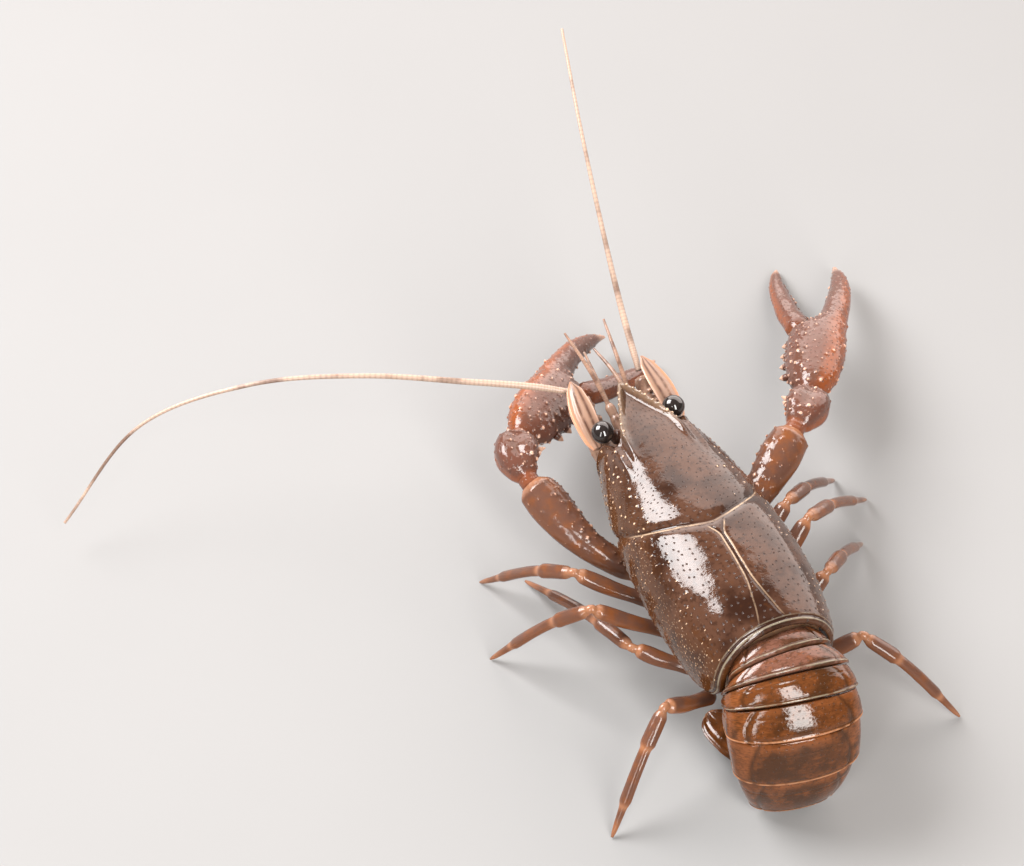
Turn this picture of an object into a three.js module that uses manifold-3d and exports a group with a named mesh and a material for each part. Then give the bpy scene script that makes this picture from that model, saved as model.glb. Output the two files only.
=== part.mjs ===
// A whole raw crayfish with its tail curled under and its claws held forward.
// Millimetres. X to the animal's right, Y to its head, Z up, floor at Z = 0.
// The body is worked out from the middle of the rear edge of the carapace and
// moved at the end, so that the origin is on the floor in the middle of the footprint.
import * as THREE from "three";
import Module from "manifold-3d";

const GAP = 0.3;
const DEG = Math.PI / 180;

// How high the breast stands above the floor
const BREAST_Z = 10;

// Carapace
const CARAPACE_LENGTH = 57;
const CARAPACE_HALF_WIDTH = 13.2;
const CARAPACE_TOP = BREAST_Z + 24.5;
const CARAPACE_WIDEST_Z = BREAST_Z + 13.5;
const CARAPACE_LOW_Z = BREAST_Z + 5;
const CARAPACE_WIDEST_Y = 16;
const CARAPACE_REAR_REACH = 27.8;
const CARAPACE_FRONT_REACH = 39.5;
const CARAPACE_ARC = 130 * DEG;
const SHELL_THICKNESS = 1;
const CHEEK_Y = 46;
const ROSTRUM_LENGTH = 10.5;
const ROSTRUM_HALF_WIDTH = 4.6;
const NECK_GROOVE_Y = 22.3;
const NECK_GROOVE_SWEEP = 14;
const NECK_GROOVE_DEPTH = 0.55;
const NECK_GROOVE_WIDTH = 1.1;
// Share of the carapace's rows that lies behind the neck groove
const NECK_SHARE = 0.42;

// Abdomen: exposed length of each ring along its back, turn in degrees, half width and depth
const RING_LENGTHS = [3.6, 3.8, 5, 6.5, 9.5, 10.9];
const RING_TURNS = [5, 12, 26, 45, 66, 89, 112];
const RING_HALF_WIDTHS = [8.1, 9, 10.6, 11, 11.2, 10.4, 7.4];
const RING_DEPTHS = [9.5, 10.4, 11, 11, 10.4, 8.8, 5.6];
const ABDOMEN_START = new THREE.Vector3(0, 0.3, BREAST_Z + 21.2);
const ABDOMEN_SWAY = 12 * DEG;
const RING_STEP = 0.45;

// Tail fan
const TELSON_LENGTH = 13;
const TELSON_HALF_WIDTH = 4.3;
const FAN_BLADE_LENGTH = 13.5;
const FAN_BLADE_HALF_WIDTH = 3.6;
const BLADE_THICKNESS = 1.3;

// Limbs
const MOVING_FINGER_LENGTH = 23;
const PALM_HALF_WIDTH = 5.3;
const PALM_HALF_THICKNESS = 3.7;
const HAND_BOW = 1.2;
const LEG_RADIUS = 1.45;
const KNEE_GAP = 0.72;
const EYE_RADIUS = 1.9;

const wasm = await Module();
wasm.setup();

const group = new THREE.Group();
group.name = "raw_crayfish";

const SHELL_BROWN = { color: 0x4a2013, roughness: 0.3, metalness: 0 };
const SHELL_AMBER = { color: 0x6a3014, roughness: 0.3, metalness: 0 };
const BELLY = { color: 0x9a6a4a, roughness: 0.45, metalness: 0 };
const LIMB_RED = { color: 0x8e3015, roughness: 0.35, metalness: 0 };
const CLAW_RED = { color: 0x6e1d12, roughness: 0.3, metalness: 0 };
const FEELER = { color: 0xb98a6c, roughness: 0.4, metalness: 0 };
const EYE_BLACK = { color: 0x0b0a0a, roughness: 0.1, metalness: 0 };

function point(x, y, z) {
  return new THREE.Vector3(x, y, z);
}

// Point carried by the body, its height taken from the breast.
function onBody(x, y, z) {
  return new THREE.Vector3(x, y, z + BREAST_Z);
}

function clamp01(value) {
  return Math.min(1, Math.max(0, value));
}

function smooth(from, to, value) {
  const t = clamp01((value - from) / (to - from));
  return t * t * (3 - 2 * t);
}

function mix(a, b, t) {
  return a + (b - a) * t;
}

// Value of a list of stations [t, v1, v2, ...] at t, on a straight line between neighbours.
function station(list, t, which) {
  let i = 0;
  while (i < list.length - 2 && t > list[i + 1][0]) {
    i += 1;
  }
  const share = clamp01((t - list[i][0]) / (list[i + 1][0] - list[i][0]));
  return mix(list[i][which], list[i + 1][which], share);
}

function signedVolume(positions, index) {
  let sum = 0;
  const a = new THREE.Vector3();
  const b = new THREE.Vector3();
  const c = new THREE.Vector3();
  for (let i = 0; i < index.length; i += 3) {
    a.fromArray(positions, index[i] * 3);
    b.fromArray(positions, index[i + 1] * 3);
    c.fromArray(positions, index[i + 2] * 3);
    sum += a.dot(b.cross(c));
  }
  return sum / 6;
}

function geometryOf(positions, index) {
  const out = index.slice();
  if (signedVolume(positions, index) < 0) {
    for (let i = 0; i < out.length; i += 3) {
      [out[i + 1], out[i + 2]] = [out[i + 2], out[i + 1]];
    }
  }
  const geometry = new THREE.BufferGeometry();
  geometry.setAttribute("position", new THREE.Float32BufferAttribute(positions, 3));
  geometry.setIndex(out);
  return geometry;
}

// Closed body through rings of equal point count, each end closed by a fan.
function loft(rings) {
  const count = rings[0].length;
  const positions = [];
  const index = [];
  rings.forEach((ring) => ring.forEach((p) => positions.push(p.x, p.y, p.z)));
  for (let i = 0; i < rings.length - 1; i += 1) {
    for (let j = 0; j < count; j += 1) {
      const a = i * count + j;
      const b = i * count + ((j + 1) % count);
      index.push(a, b, b + count, a, b + count, a + count);
    }
  }
  [0, rings.length - 1].forEach((which) => {
    const middle = new THREE.Vector3();
    rings[which].forEach((p) => middle.addScaledVector(p, 1 / count));
    const hub = positions.length / 3;
    positions.push(middle.x, middle.y, middle.z);
    for (let j = 0; j < count; j += 1) {
      const a = which * count + j;
      const b = which * count + ((j + 1) % count);
      if (which === 0) {
        index.push(hub, b, a);
      } else {
        index.push(hub, a, b);
      }
    }
  });
  return geometryOf(positions, index);
}

// Closed plate between an outer and an inner grid of the same size.
function plate(outer, inner) {
  const rows = outer.length;
  const columns = outer[0].length;
  const positions = [];
  const index = [];
  [outer, inner].flat(2).forEach((p) => positions.push(p.x, p.y, p.z));
  const top = (i, j) => i * columns + j;
  const under = (i, j) => rows * columns + i * columns + j;
  for (let i = 0; i < rows - 1; i += 1) {
    for (let j = 0; j < columns - 1; j += 1) {
      index.push(top(i, j), top(i, j + 1), top(i + 1, j + 1));
      index.push(top(i, j), top(i + 1, j + 1), top(i + 1, j));
      index.push(under(i, j), under(i + 1, j + 1), under(i, j + 1));
      index.push(under(i, j), under(i + 1, j), under(i + 1, j + 1));
    }
  }
  for (let i = 0; i < rows - 1; i += 1) {
    const last = columns - 1;
    index.push(top(i, 0), top(i + 1, 0), under(i + 1, 0));
    index.push(top(i, 0), under(i + 1, 0), under(i, 0));
    index.push(top(i, last), under(i + 1, last), top(i + 1, last));
    index.push(top(i, last), under(i, last), under(i + 1, last));
  }
  for (let j = 0; j < columns - 1; j += 1) {
    const last = rows - 1;
    index.push(top(0, j), under(0, j + 1), top(0, j + 1));
    index.push(top(0, j), under(0, j), under(0, j + 1));
    index.push(top(last, j), top(last, j + 1), under(last, j + 1));
    index.push(top(last, j), under(last, j + 1), under(last, j));
  }
  return geometryOf(positions, index);
}

// Limb along a smooth line. Stations are [t, half width, half thickness, sideways shift].
function limb(line, stations, sides, steps, up) {
  const curve = new THREE.CatmullRomCurve3(line, false, "centripetal");
  const rings = [];
  for (let i = 0; i <= steps; i += 1) {
    const t = i / steps;
    const middle = curve.getPointAt(t);
    const along = curve.getTangentAt(t).normalize();
    const side = new THREE.Vector3().crossVectors(along, up).normalize();
    const over = new THREE.Vector3().crossVectors(side, along).normalize();
    const shift = stations[0].length > 3 ? station(stations, t, 3) : 0;
    const ring = [];
    for (let j = 0; j < sides; j += 1) {
      const angle = (j / sides) * 2 * Math.PI;
      const width = Math.cos(angle) * station(stations, t, 1) + shift;
      const height = Math.sin(angle) * station(stations, t, 2);
      ring.push(middle.clone().addScaledVector(side, width).addScaledVector(over, height));
    }
    rings.push(ring);
  }
  return loft(rings);
}

function toSolid(geometry) {
  const positions = geometry.getAttribute("position").array;
  const mesh = new wasm.Mesh({
    numProp: 3,
    vertProperties: new Float32Array(positions),
    triVerts: new Uint32Array(geometry.getIndex().array),
  });
  return new wasm.Manifold(mesh);
}

function fromSolid(solid) {
  const mesh = solid.getMesh();
  return geometryOf(Array.from(mesh.vertProperties), Array.from(mesh.triVerts));
}

function joined(geometries) {
  return fromSolid(geometries.map(toSolid).reduce((sum, next) => sum.add(next)));
}

function add(name, geometry, finish) {
  const flat = geometry.index ? geometry.toNonIndexed() : geometry;
  flat.computeVertexNormals();
  const mesh = new THREE.Mesh(flat, new THREE.MeshStandardMaterial(finish));
  mesh.name = name;
  group.add(mesh);
}

// ---- carapace ----

function halfWidthAt(y) {
  const reach = y < CARAPACE_WIDEST_Y ? CARAPACE_REAR_REACH : CARAPACE_FRONT_REACH;
  const share = (Math.min(y, CHEEK_Y) - CARAPACE_WIDEST_Y) / reach;
  return CARAPACE_HALF_WIDTH * Math.sqrt(1 - share * share);
}

function topAt(y) {
  if (y < CARAPACE_WIDEST_Y) {
    const back = (CARAPACE_WIDEST_Y - y) / CARAPACE_WIDEST_Y;
    return CARAPACE_TOP - 1.8 * back * back;
  }
  const front = (y - CARAPACE_WIDEST_Y) / (CARAPACE_LENGTH - CARAPACE_WIDEST_Y);
  return CARAPACE_TOP - 4.4 * Math.pow(front, 1.6);
}

// Point of the carapace's cross-section at y, an angle from its top and an inset.
function sectionPoint(y, angle, inset) {
  const turn = Math.abs(angle);
  const width = halfWidthAt(y) - inset;
  const rise = topAt(y) - CARAPACE_WIDEST_Z - inset;
  const fall = CARAPACE_WIDEST_Z - CARAPACE_LOW_Z - 0.4 * inset - 2 * smooth(28, 46, y);
  let x = width * Math.pow(Math.sin(Math.min(turn, Math.PI / 2)), 0.9);
  let z = CARAPACE_WIDEST_Z + rise * Math.pow(Math.max(Math.cos(turn), 0), 0.9);
  if (turn > Math.PI / 2) {
    const low = (turn - Math.PI / 2) / (CARAPACE_ARC - Math.PI / 2);
    x = width * (1 - 0.17 * low * low);
    z = CARAPACE_WIDEST_Z - fall * low;
  }
  return point(Math.sign(angle) * x, y, z);
}

function rearEdgeAt(angle) {
  const turn = Math.abs(angle);
  const low = Math.max(0, turn - Math.PI / 2) / (CARAPACE_ARC - Math.PI / 2);
  const side = Math.sin(Math.min(turn, Math.PI / 2));
  return -1.4 * side * side + 7 * low * low;
}

function neckGrooveAt(angle) {
  return NECK_GROOVE_Y + NECK_GROOVE_SWEEP * Math.pow(Math.abs(angle) / (120 * DEG), 1.3);
}

function rostrumHalfWidthAt(y) {
  const share = clamp01((CARAPACE_LENGTH - y) / ROSTRUM_LENGTH);
  return ROSTRUM_HALF_WIDTH * Math.pow(share, 1 / 1.15);
}

function frontEdgeAt(angle) {
  const x = Math.abs(sectionPoint(CHEEK_Y, angle, 0).x);
  const degrees = Math.abs(angle) / DEG;
  if (x < ROSTRUM_HALF_WIDTH && degrees < 90) {
    return CARAPACE_LENGTH - ROSTRUM_LENGTH * Math.pow(x / ROSTRUM_HALF_WIDTH, 1.15);
  }
  const orbit = mix(CARAPACE_LENGTH - ROSTRUM_LENGTH, 45.2, smooth(30, 37, degrees));
  return orbit + 2.4 * smooth(44, 60, degrees) - 2.6 * smooth(80, 130, degrees);
}

function reliefAt(p, angle) {
  const fromGroove = (p.y - neckGrooveAt(angle)) / NECK_GROOVE_WIDTH;
  let relief = -NECK_GROOVE_DEPTH * Math.exp(-fromGroove * fromGroove);
  if (Math.abs(angle) < 60 * DEG && p.y > 38) {
    const edge = p.y > 46.5 ? rostrumHalfWidthAt(p.y) : ROSTRUM_HALF_WIDTH + (46.5 - p.y) * 0.12;
    const ridge = (Math.abs(p.x) - edge + 0.35) / 0.75;
    relief += 0.6 * smooth(38, 44, p.y) * Math.exp(-ridge * ridge);
    const across = clamp01(Math.abs(p.x) / Math.max(edge, 0.2));
    relief -= 0.6 * smooth(42, 50, p.y) * (1 - across * across);
  }
  return relief;
}

function carapacePoint(share, angle, inset) {
  const rear = rearEdgeAt(angle);
  const neck = neckGrooveAt(angle);
  const front = frontEdgeAt(angle);
  const y = share < NECK_SHARE
    ? mix(rear, neck, share / NECK_SHARE)
    : mix(neck, front, (share - NECK_SHARE) / (1 - NECK_SHARE));
  const p = sectionPoint(y, angle, inset);
  const hub = point(0, y, CARAPACE_WIDEST_Z - 3);
  const outward = p.clone().sub(hub).normalize();
  return p.addScaledVector(outward, reliefAt(p, angle));
}

function makeCarapace() {
  const rows = 21;
  const half = 16;
  const outer = [];
  const inner = [];
  for (let i = 0; i <= rows; i += 1) {
    const line = 2 * (i / rows - NECK_SHARE);
    const share = i === rows ? 1 : clamp01(NECK_SHARE + 0.39 * line + 0.13 * line ** 3);
    outer.push([]);
    inner.push([]);
    for (let j = -half; j <= half; j += 1) {
      const c = Math.abs(j) / half;
      const angle = Math.sign(j) * CARAPACE_ARC * (0.35 * c + 0.65 * c * c);
      outer[i].push(carapacePoint(i === 0 ? 0 : share, angle, 0));
      inner[i].push(carapacePoint(i === 0 ? 0 : share, angle, SHELL_THICKNESS));
    }
  }
  add("carapace", plate(outer, inner), SHELL_BROWN);
}

// Body under the carapace, with the breast plate between the legs.
function makeBreast() {
  const inset = SHELL_THICKNESS + GAP + NECK_GROOVE_DEPTH;
  const shoulder = 118 * DEG;
  const plateHalfWidth = 6.6;
  const plateRise = 3.6;
  const rings = [];
  const stations = [
    [1.3, 0.96, 0],
    [8, 1, 0],
    [16, 1, 0],
    [24, 1, 0],
    [32, 1, 0.4],
    [40, 0.98, 1.4],
    [44.5, 0.94, 2.6],
    [46.3, 0.78, 4.4],
  ];
  stations.forEach(([y, size, lift]) => {
    const ring = [];
    const across = 22;
    for (let j = 0; j < across; j += 1) {
      const angle = ((j + 0.5) / across) * 2 * Math.PI - Math.PI;
      const turn = Math.abs(angle);
      let p;
      if (turn < shoulder) {
        p = sectionPoint(y, angle * 0.95, inset);
      } else {
        const low = (turn - shoulder) / (Math.PI - shoulder);
        const width = Math.min(mix(halfWidthAt(y) * 0.66, 1.2, low), plateHalfWidth);
        p = point(Math.sign(angle) * width, y, BREAST_Z + plateRise * (1 - Math.sqrt(low)) + lift);
      }
      p.x *= size;
      p.z = CARAPACE_WIDEST_Z + (p.z - CARAPACE_WIDEST_Z) * size;
      ring.push(p);
    }
    rings.push(ring);
  });
  add("breast", loft(rings), BELLY);
}

// ---- abdomen ----

function abdomenFrame(place) {
  const count = RING_LENGTHS.length;
  const at = ABDOMEN_START.clone();
  const whole = Math.min(Math.floor(place), count);
  const turnAt = (s) => mix(RING_TURNS[Math.min(Math.floor(s), count - 1)],
    RING_TURNS[Math.min(Math.floor(s) + 1, count)], s - Math.min(Math.floor(s), count - 1)) * DEG;
  const swayAt = (s) => ABDOMEN_SWAY * smooth(0, 3, s);
  const direction = (s) => {
    const back = point(0, -Math.cos(turnAt(s)), -Math.sin(turnAt(s)));
    return back.applyAxisAngle(point(0, 0, 1), -swayAt(s));
  };
  const steps = 12;
  for (let i = 0; i < count; i += 1) {
    for (let k = 0; k < steps; k += 1) {
      const s = i + (k + 0.5) / steps;
      const left = clamp01((place - i) * steps - k);
      at.addScaledVector(direction(s), (RING_LENGTHS[i] / steps) * left);
    }
    if (i >= whole) {
      break;
    }
  }
  const along = direction(place);
  const across = point(1, 0, 0).applyAxisAngle(point(0, 0, 1), -swayAt(place));
  const inward = new THREE.Vector3().crossVectors(across, along).normalize();
  return { at, along, across, inward };
}

// One cross-section of a tail ring: arched back, side flaps, flat belly.
function abdomenRing(place, nudge, width, depth, flap, sink) {
  const frame = abdomenFrame(place);
  const half = [];
  const arch = 8;
  for (let k = 0; k <= arch; k += 1) {
    const angle = (k / arch) * 96 * DEG;
    half.push([width * Math.pow(Math.sin(angle), 0.9), 0.5 * depth * (1 - Math.cos(angle)) + sink]);
  }
  half.push([width * 0.985, mix(0.55 * depth, flap, 0.5)]);
  half.push([width * 0.93, flap]);
  half.push([width * 0.84, flap - 0.5]);
  half.push([width * 0.76, 0.8 * depth]);
  half.push([width * 0.4, 0.78 * depth]);
  const mirrored = half.slice(1).reverse().map(([x, d]) => [-x, d]);
  return half.concat(mirrored).map(([x, d]) => frame.at.clone()
    .addScaledVector(frame.along, nudge)
    .addScaledVector(frame.across, x)
    .addScaledVector(frame.inward, d));
}

function makeAbdomen() {
  RING_LENGTHS.forEach((length, i) => {
    const rings = [];
    const steps = i < 2 ? 4 : 6;
    for (let k = 0; k <= steps; k += 1) {
      const share = k / steps;
      const place = i + share;
      const rear = Math.pow(share, 0.7);
      const width = mix(RING_HALF_WIDTHS[i], RING_HALF_WIDTHS[i + 1], share);
      const depth = mix(RING_DEPTHS[i], RING_DEPTHS[i + 1], share);
      const lobe = Math.sin(Math.PI * clamp01(share * 0.9 + 0.05)) * (i === 0 ? 0 : 2.2);
      const step = RING_STEP * (1 - rear);
      const nudge = mix(GAP, 0, share);
      rings.push(abdomenRing(place, nudge, width - step, depth, 0.86 * depth + lobe, step));
    }
    add(`tail_ring_${i + 1}`, loft(rings), SHELL_AMBER);
  });
}

// Leaf-shaped swimming legs hanging from the belly of the tail.
function makeSwimLegs() {
  [2, 4].forEach((ring) => {
    const frame = abdomenFrame(ring - 0.5);
    const depth = 0.79 * mix(RING_DEPTHS[ring - 1], RING_DEPTHS[ring], 0.5);
    [-1, 1].forEach((side) => {
      const hang = (out, down, forward) => frame.at.clone()
        .addScaledVector(frame.across, side * out)
        .addScaledVector(frame.inward, depth + down)
        .addScaledVector(frame.along, -forward);
      const leaf = limb([hang(3.6, 0.5, 0), hang(4.4, 2.4, 0.2), hang(4.2, 4.4, 0.5)],
        [[0, 0.5, 0.4], [0.2, 0.8, 0.5], [0.65, 1.4, 0.45], [1, 0.5, 0.25]], 6, 4, frame.along);
      add(`swim_leg_${side < 0 ? "left" : "right"}_${ring}`, leaf, LIMB_RED);
    });
  });
}

// ---- tail fan, folded flat on the floor under the body ----

function fanBlade(length, halfWidth, bottom, thickness, spread, base, outline) {
  const end = abdomenFrame(RING_LENGTHS.length);
  const forward = point(0, 1, 0).applyAxisAngle(point(0, 0, 1), -ABDOMEN_SWAY + spread);
  const across = point(1, 0, 0).applyAxisAngle(point(0, 0, 1), -ABDOMEN_SWAY + spread);
  const start = point(end.at.x, end.at.y, 0)
    .addScaledVector(point(0, 1, 0).applyAxisAngle(point(0, 0, 1), -ABDOMEN_SWAY), base[1])
    .addScaledVector(point(1, 0, 0).applyAxisAngle(point(0, 0, 1), -ABDOMEN_SWAY), base[0]);
  const rings = [];
  const steps = 9;
  for (let i = 0; i <= steps; i += 1) {
    const t = i / steps;
    const width = halfWidth * outline(t);
    const thick = thickness * mix(1, 0.65, t);
    const profile = [
      [-0.86, 0], [0, 0], [0.86, 0], [1, 0.4], [0.8, 0.85], [0.35, 1], [-0.35, 1], [-0.8, 0.85], [-1, 0.4],
    ];
    rings.push(profile.map(([x, z]) => start.clone()
      .addScaledVector(forward, length * t)
      .addScaledVector(across, width * x)
      .add(point(0, 0, bottom + thick * z))));
  }
  return loft(rings);
}

function roundedEnd(t) {
  const end = clamp01((t - 0.62) / 0.38);
  return mix(0.72, 1, smooth(0, 0.5, t)) * Math.sqrt(Math.max(0.06, 1 - Math.pow(end, 2.6)));
}

function makeTailFan() {
  const level = BLADE_THICKNESS + GAP;
  const telson = fanBlade(TELSON_LENGTH, TELSON_HALF_WIDTH, 0, BLADE_THICKNESS, 0, [0, 1], roundedEnd);
  add("telson", telson, SHELL_AMBER);
  [-1, 1].forEach((side) => {
    const name = side < 0 ? "left" : "right";
    const inner = fanBlade(FAN_BLADE_LENGTH, FAN_BLADE_HALF_WIDTH, level, BLADE_THICKNESS, -side * 13 * DEG,
      [side * 2.9, 4.8], roundedEnd);
    const outer = fanBlade(FAN_BLADE_LENGTH, FAN_BLADE_HALF_WIDTH, 2 * level, BLADE_THICKNESS,
      -side * 25 * DEG, [side * 3.8, 7.8], roundedEnd);
    add(`fan_inner_${name}`, inner, SHELL_AMBER);
    add(`fan_outer_${name}`, outer, SHELL_AMBER);
  });
}

// ---- head ----

function makeHead() {
  [-1, 1].forEach((side) => {
    const name = side < 0 ? "left" : "right";
    const eyeAt = onBody(side * 6.5, 49.4, 18.6);
    const eye = new THREE.SphereGeometry(EYE_RADIUS, 12, 8);
    eye.deleteAttribute("uv");
    eye.deleteAttribute("normal");
    eye.translate(eyeAt.x, eyeAt.y, eyeAt.z);
    add(`eye_${name}`, eye, EYE_BLACK);
    const toward = eyeAt.clone().sub(onBody(side * 2.6, 48.0, 16.2)).normalize();
    const stalkEnd = eyeAt.clone().addScaledVector(toward, -EYE_RADIUS - 0.32);
    const stalk = limb(
      [onBody(side * 1.7, 48.2, 15.6), onBody(side * 3.2, 48.3, 16.4), stalkEnd],
      [[0, 0.7, 0.7], [0.2, 1.2, 1.1], [0.8, 1.35, 1.25], [1, 1.1, 1]],
      8, 6, point(0, 0, 1));
    add(`eye_stalk_${name}`, stalk, FEELER);

    const peduncle = limb(
      [onBody(side * 4.6, 47.1, 11), onBody(side * 5.2, 51, 11.6), onBody(side * 5.5, 59.4, 15.6)],
      [[0, 1.6, 1.6], [0.08, 2.5, 2.4], [0.42, 2.3, 2.2], [0.5, 1.75, 1.7], [0.7, 1.85, 1.8],
        [0.76, 1.35, 1.3], [0.94, 1.4, 1.3], [1, 0.9, 0.9]],
      9, 11, point(0, 0, 1));
    add(`antenna_base_${name}`, peduncle, FEELER);

    const scale = limb(
      [onBody(side * 7.35, 48.8, 15.5), onBody(side * 7.3, 54.6, 17), onBody(side * 6.5, 61.6, 18.1)],
      [[0, 1.1, 0.5], [0.15, 1.8, 0.55], [0.5, 2.05, 0.5], [0.85, 1.35, 0.4], [0.95, 0.5, 0.3],
        [1, 0.15, 0.15]],
      8, 10, point(side * 0.25, 0, 1));
    add(`antenna_scale_${name}`, scale, FEELER);

    const stem = [
      onBody(side * 1.6, 48.2, 13.4), onBody(side * 1.8, 52, 14.2), onBody(side * 2, 56.5, 15.6),
    ];
    const stemSizes = [[0, 0.9, 0.9], [0.1, 1.25, 1.2], [0.9, 0.8, 0.8], [1, 0.5, 0.5]];
    const upper = [
      onBody(side * 2, 55.8, 15.5), onBody(side * 2.6, 62, 18.2), onBody(side * 3.6, 70, 20),
    ];
    const lower = [
      onBody(side * 2, 55.8, 15.3), onBody(side * 1.6, 62, 16.2), onBody(side * 0.9, 68, 15.8),
    ];
    const whip = [[0, 0.42, 0.42], [0.5, 0.36, 0.36], [1, 0.2, 0.2]];
    add(`feeler_${name}`, joined([
      limb(stem, stemSizes, 7, 5, point(0, 0, 1)),
      limb(upper, whip, 5, 6, point(0, 0, 1)),
      limb(lower, whip, 5, 6, point(0, 0, 1)),
    ]), FEELER);

    const jawLine = [
      onBody(side * 3.4, 36.5, -0.4), onBody(side * 3.6, 43, -0.6), onBody(side * 3, 49.5, 2.4),
      onBody(side * 2.4, 52.6, 7),
    ];
    const jawSizes = [[0, 1.4, 1.2], [0.1, 1.9, 1.5], [0.5, 1.8, 1.5], [0.8, 1.3, 1.2], [1, 0.5, 0.5]];
    const jaw = limb(jawLine, jawSizes, 8, 10, point(0, 0, 1));
    add(`mouth_leg_${name}`, jaw, LIMB_RED);
  });

  const whipSizes = [[0, 0.5, 0.5], [0.06, 0.58, 0.58], [0.4, 0.42, 0.42], [1, 0.24, 0.24]];
  const leftWhip = [
    onBody(-5.7, 60.3, 16.1), onBody(-12, 63.5, 17.5), onBody(-22, 68, 19), onBody(-38, 76, 20),
    onBody(-55, 84, 17.5), onBody(-73, 90, 9), point(-89, 86, 6),
  ];
  const rightWhip = [
    onBody(5.6, 60.4, 16.1), onBody(7.2, 70, 19.5), onBody(10, 84, 25.5), onBody(13.8, 101, 33),
    onBody(18, 117, 39),
  ];
  add("antenna_left", limb(leftWhip, whipSizes, 5, 24, point(0, 0, 1)), FEELER);
  add("antenna_right", limb(rightWhip, whipSizes, 5, 15, point(0, 0, 1)), FEELER);
}

// ---- claws ----

// Hand with its fixed finger, and moving finger: [t, half width, half thickness, shift to
// the outer side], as shares of the palm's half width and half thickness
const HAND_STATIONS = [
  [0, 0.245, 0.35, 0], [0.04, 0.49, 0.62, 0], [0.12, 0.81, 0.865, 0], [0.28, 1, 1, 0],
  [0.42, 0.96, 0.945, 0], [0.47, 0.66, 0.785, 0.32], [0.53, 0.49, 0.65, 0.47],
  [0.72, 0.395, 0.515, 0.545], [0.9, 0.245, 0.325, 0.395], [1, 0.065, 0.095, 0.17],
];
const FINGER_STATIONS = [
  [0, 0.245, 0.35, 0], [0.08, 0.415, 0.515, 0], [0.35, 0.375, 0.485, -0.095], [0.7, 0.285, 0.38, -0.075],
  [0.92, 0.17, 0.245, 0.075], [1, 0.055, 0.08, 0.17],
];

function clawSizes(stations, side) {
  return stations.map(([t, width, thickness, shift]) => [
    t, width * PALM_HALF_WIDTH, thickness * PALM_HALF_THICKNESS, shift * PALM_HALF_WIDTH * side,
  ]);
}

// Blunt spike standing on a surface, to be joined to a claw.
function spike(at, toward, radius, height) {
  const end = at.clone().addScaledVector(toward, height);
  const start = at.clone().addScaledVector(toward, -height * 0.6);
  const up = Math.abs(toward.z) > 0.8 ? point(1, 0, 0) : point(0, 0, 1);
  return limb([start, end], [[0, radius, radius], [1, radius * 0.25, radius * 0.25]], 6, 1, up);
}

// Hand with its fixed finger, and the moving finger hinged at its inner corner.
function makeHand(name, side, wrist, tip, roll, opening) {
  const along = tip.clone().sub(wrist).normalize();
  const up = point(0, 0, 1).applyAxisAngle(along, roll);
  const outer = new THREE.Vector3().crossVectors(along, up).normalize();
  const over = new THREE.Vector3().crossVectors(outer, along).normalize();
  const inner = outer.clone().multiplyScalar(-side);
  const place = (t, inward) => wrist.clone().lerp(tip, t)
    .addScaledVector(over, HAND_BOW * Math.sin(Math.PI * t))
    .addScaledVector(inner, inward * PALM_HALF_WIDTH);
  const pieces = [limb([wrist, place(0.5, 0), tip], clawSizes(HAND_STATIONS, side), 12, 18, up)];
  for (let i = 0; i < 4; i += 1) {
    const t = 0.16 + i * 0.075;
    pieces.push(spike(place(t, 0.85 + 0.17 * Math.sin(Math.PI * t * 1.6)), inner, 0.75, 0.9));
  }
  for (let i = 0; i < 4; i += 1) {
    pieces.push(spike(place(0.56 + i * 0.085, -0.17 - i * 0.019), inner, 0.6, 0.7));
  }
  add(`claw_hand_${name}`, joined(pieces), CLAW_RED);

  const hinge = place(0.475, 0.62);
  const aim = along.clone().applyAxisAngle(over, side * opening);
  const line = [0, 0.5, 1].map((t) => hinge.clone().addScaledVector(aim, MOVING_FINGER_LENGTH * t));
  add(`claw_finger_${name}`, limb(line, clawSizes(FINGER_STATIONS, side), 9, 11, up), CLAW_RED);
}

function makeClaws() {
  const armSizes = [
    [0, 1.5, 1.5], [0.1, 2.2, 2], [0.35, 2.5, 2.4], [0.8, 3.6, 3.1], [0.94, 3.3, 2.8], [1, 2, 1.9],
  ];
  const wristSizes = [[0, 1.7, 1.6], [0.2, 2.7, 2.5], [0.65, 3.9, 3.4], [0.88, 3.6, 3.2], [1, 2.4, 2.2]];
  const up = point(0, 0, 1);
  const arms = {
    left: {
      arm: [onBody(-8.2, 32.5, 1.2), onBody(-14.2, 39.6, 4.6), onBody(-18.4, 51.5, 8.6)],
      wrist: [onBody(-18.6, 52.6, 9), onBody(-18.5, 56.8, 9.6), onBody(-16.8, 60.6, 8.8)],
      hand: [onBody(-16.1, 61.5, 8.3), point(12, 85, 3.5)],
    },
    right: {
      arm: [onBody(8.2, 32.5, 1.2), onBody(16.4, 36.6, 4.4), onBody(26.6, 43.8, 7.4)],
      wrist: [onBody(27.4, 44.6, 7.4), onBody(30.6, 47.2, 7.1), onBody(33.3, 50.1, 5.4)],
      hand: [onBody(33.8, 50.9, 5), point(55, 83.4, 2.8)],
    },
  };
  add("claw_arm_left", limb(arms.left.arm, armSizes, 10, 10, up), LIMB_RED);
  add("claw_arm_right", limb(arms.right.arm, armSizes, 10, 10, up), LIMB_RED);
  add("claw_wrist_left", limb(arms.left.wrist, wristSizes, 10, 7, up), CLAW_RED);
  add("claw_wrist_right", limb(arms.right.wrist, wristSizes, 10, 7, up), CLAW_RED);
  makeHand("left", -1, arms.left.hand[0], arms.left.hand[1], 20 * DEG, 16 * DEG);
  makeHand("right", 1, arms.right.hand[0], arms.right.hand[1], -20 * DEG, 18 * DEG);
}

// ---- walking legs: base at the breast, knee in the air, foot on the floor ----

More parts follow.
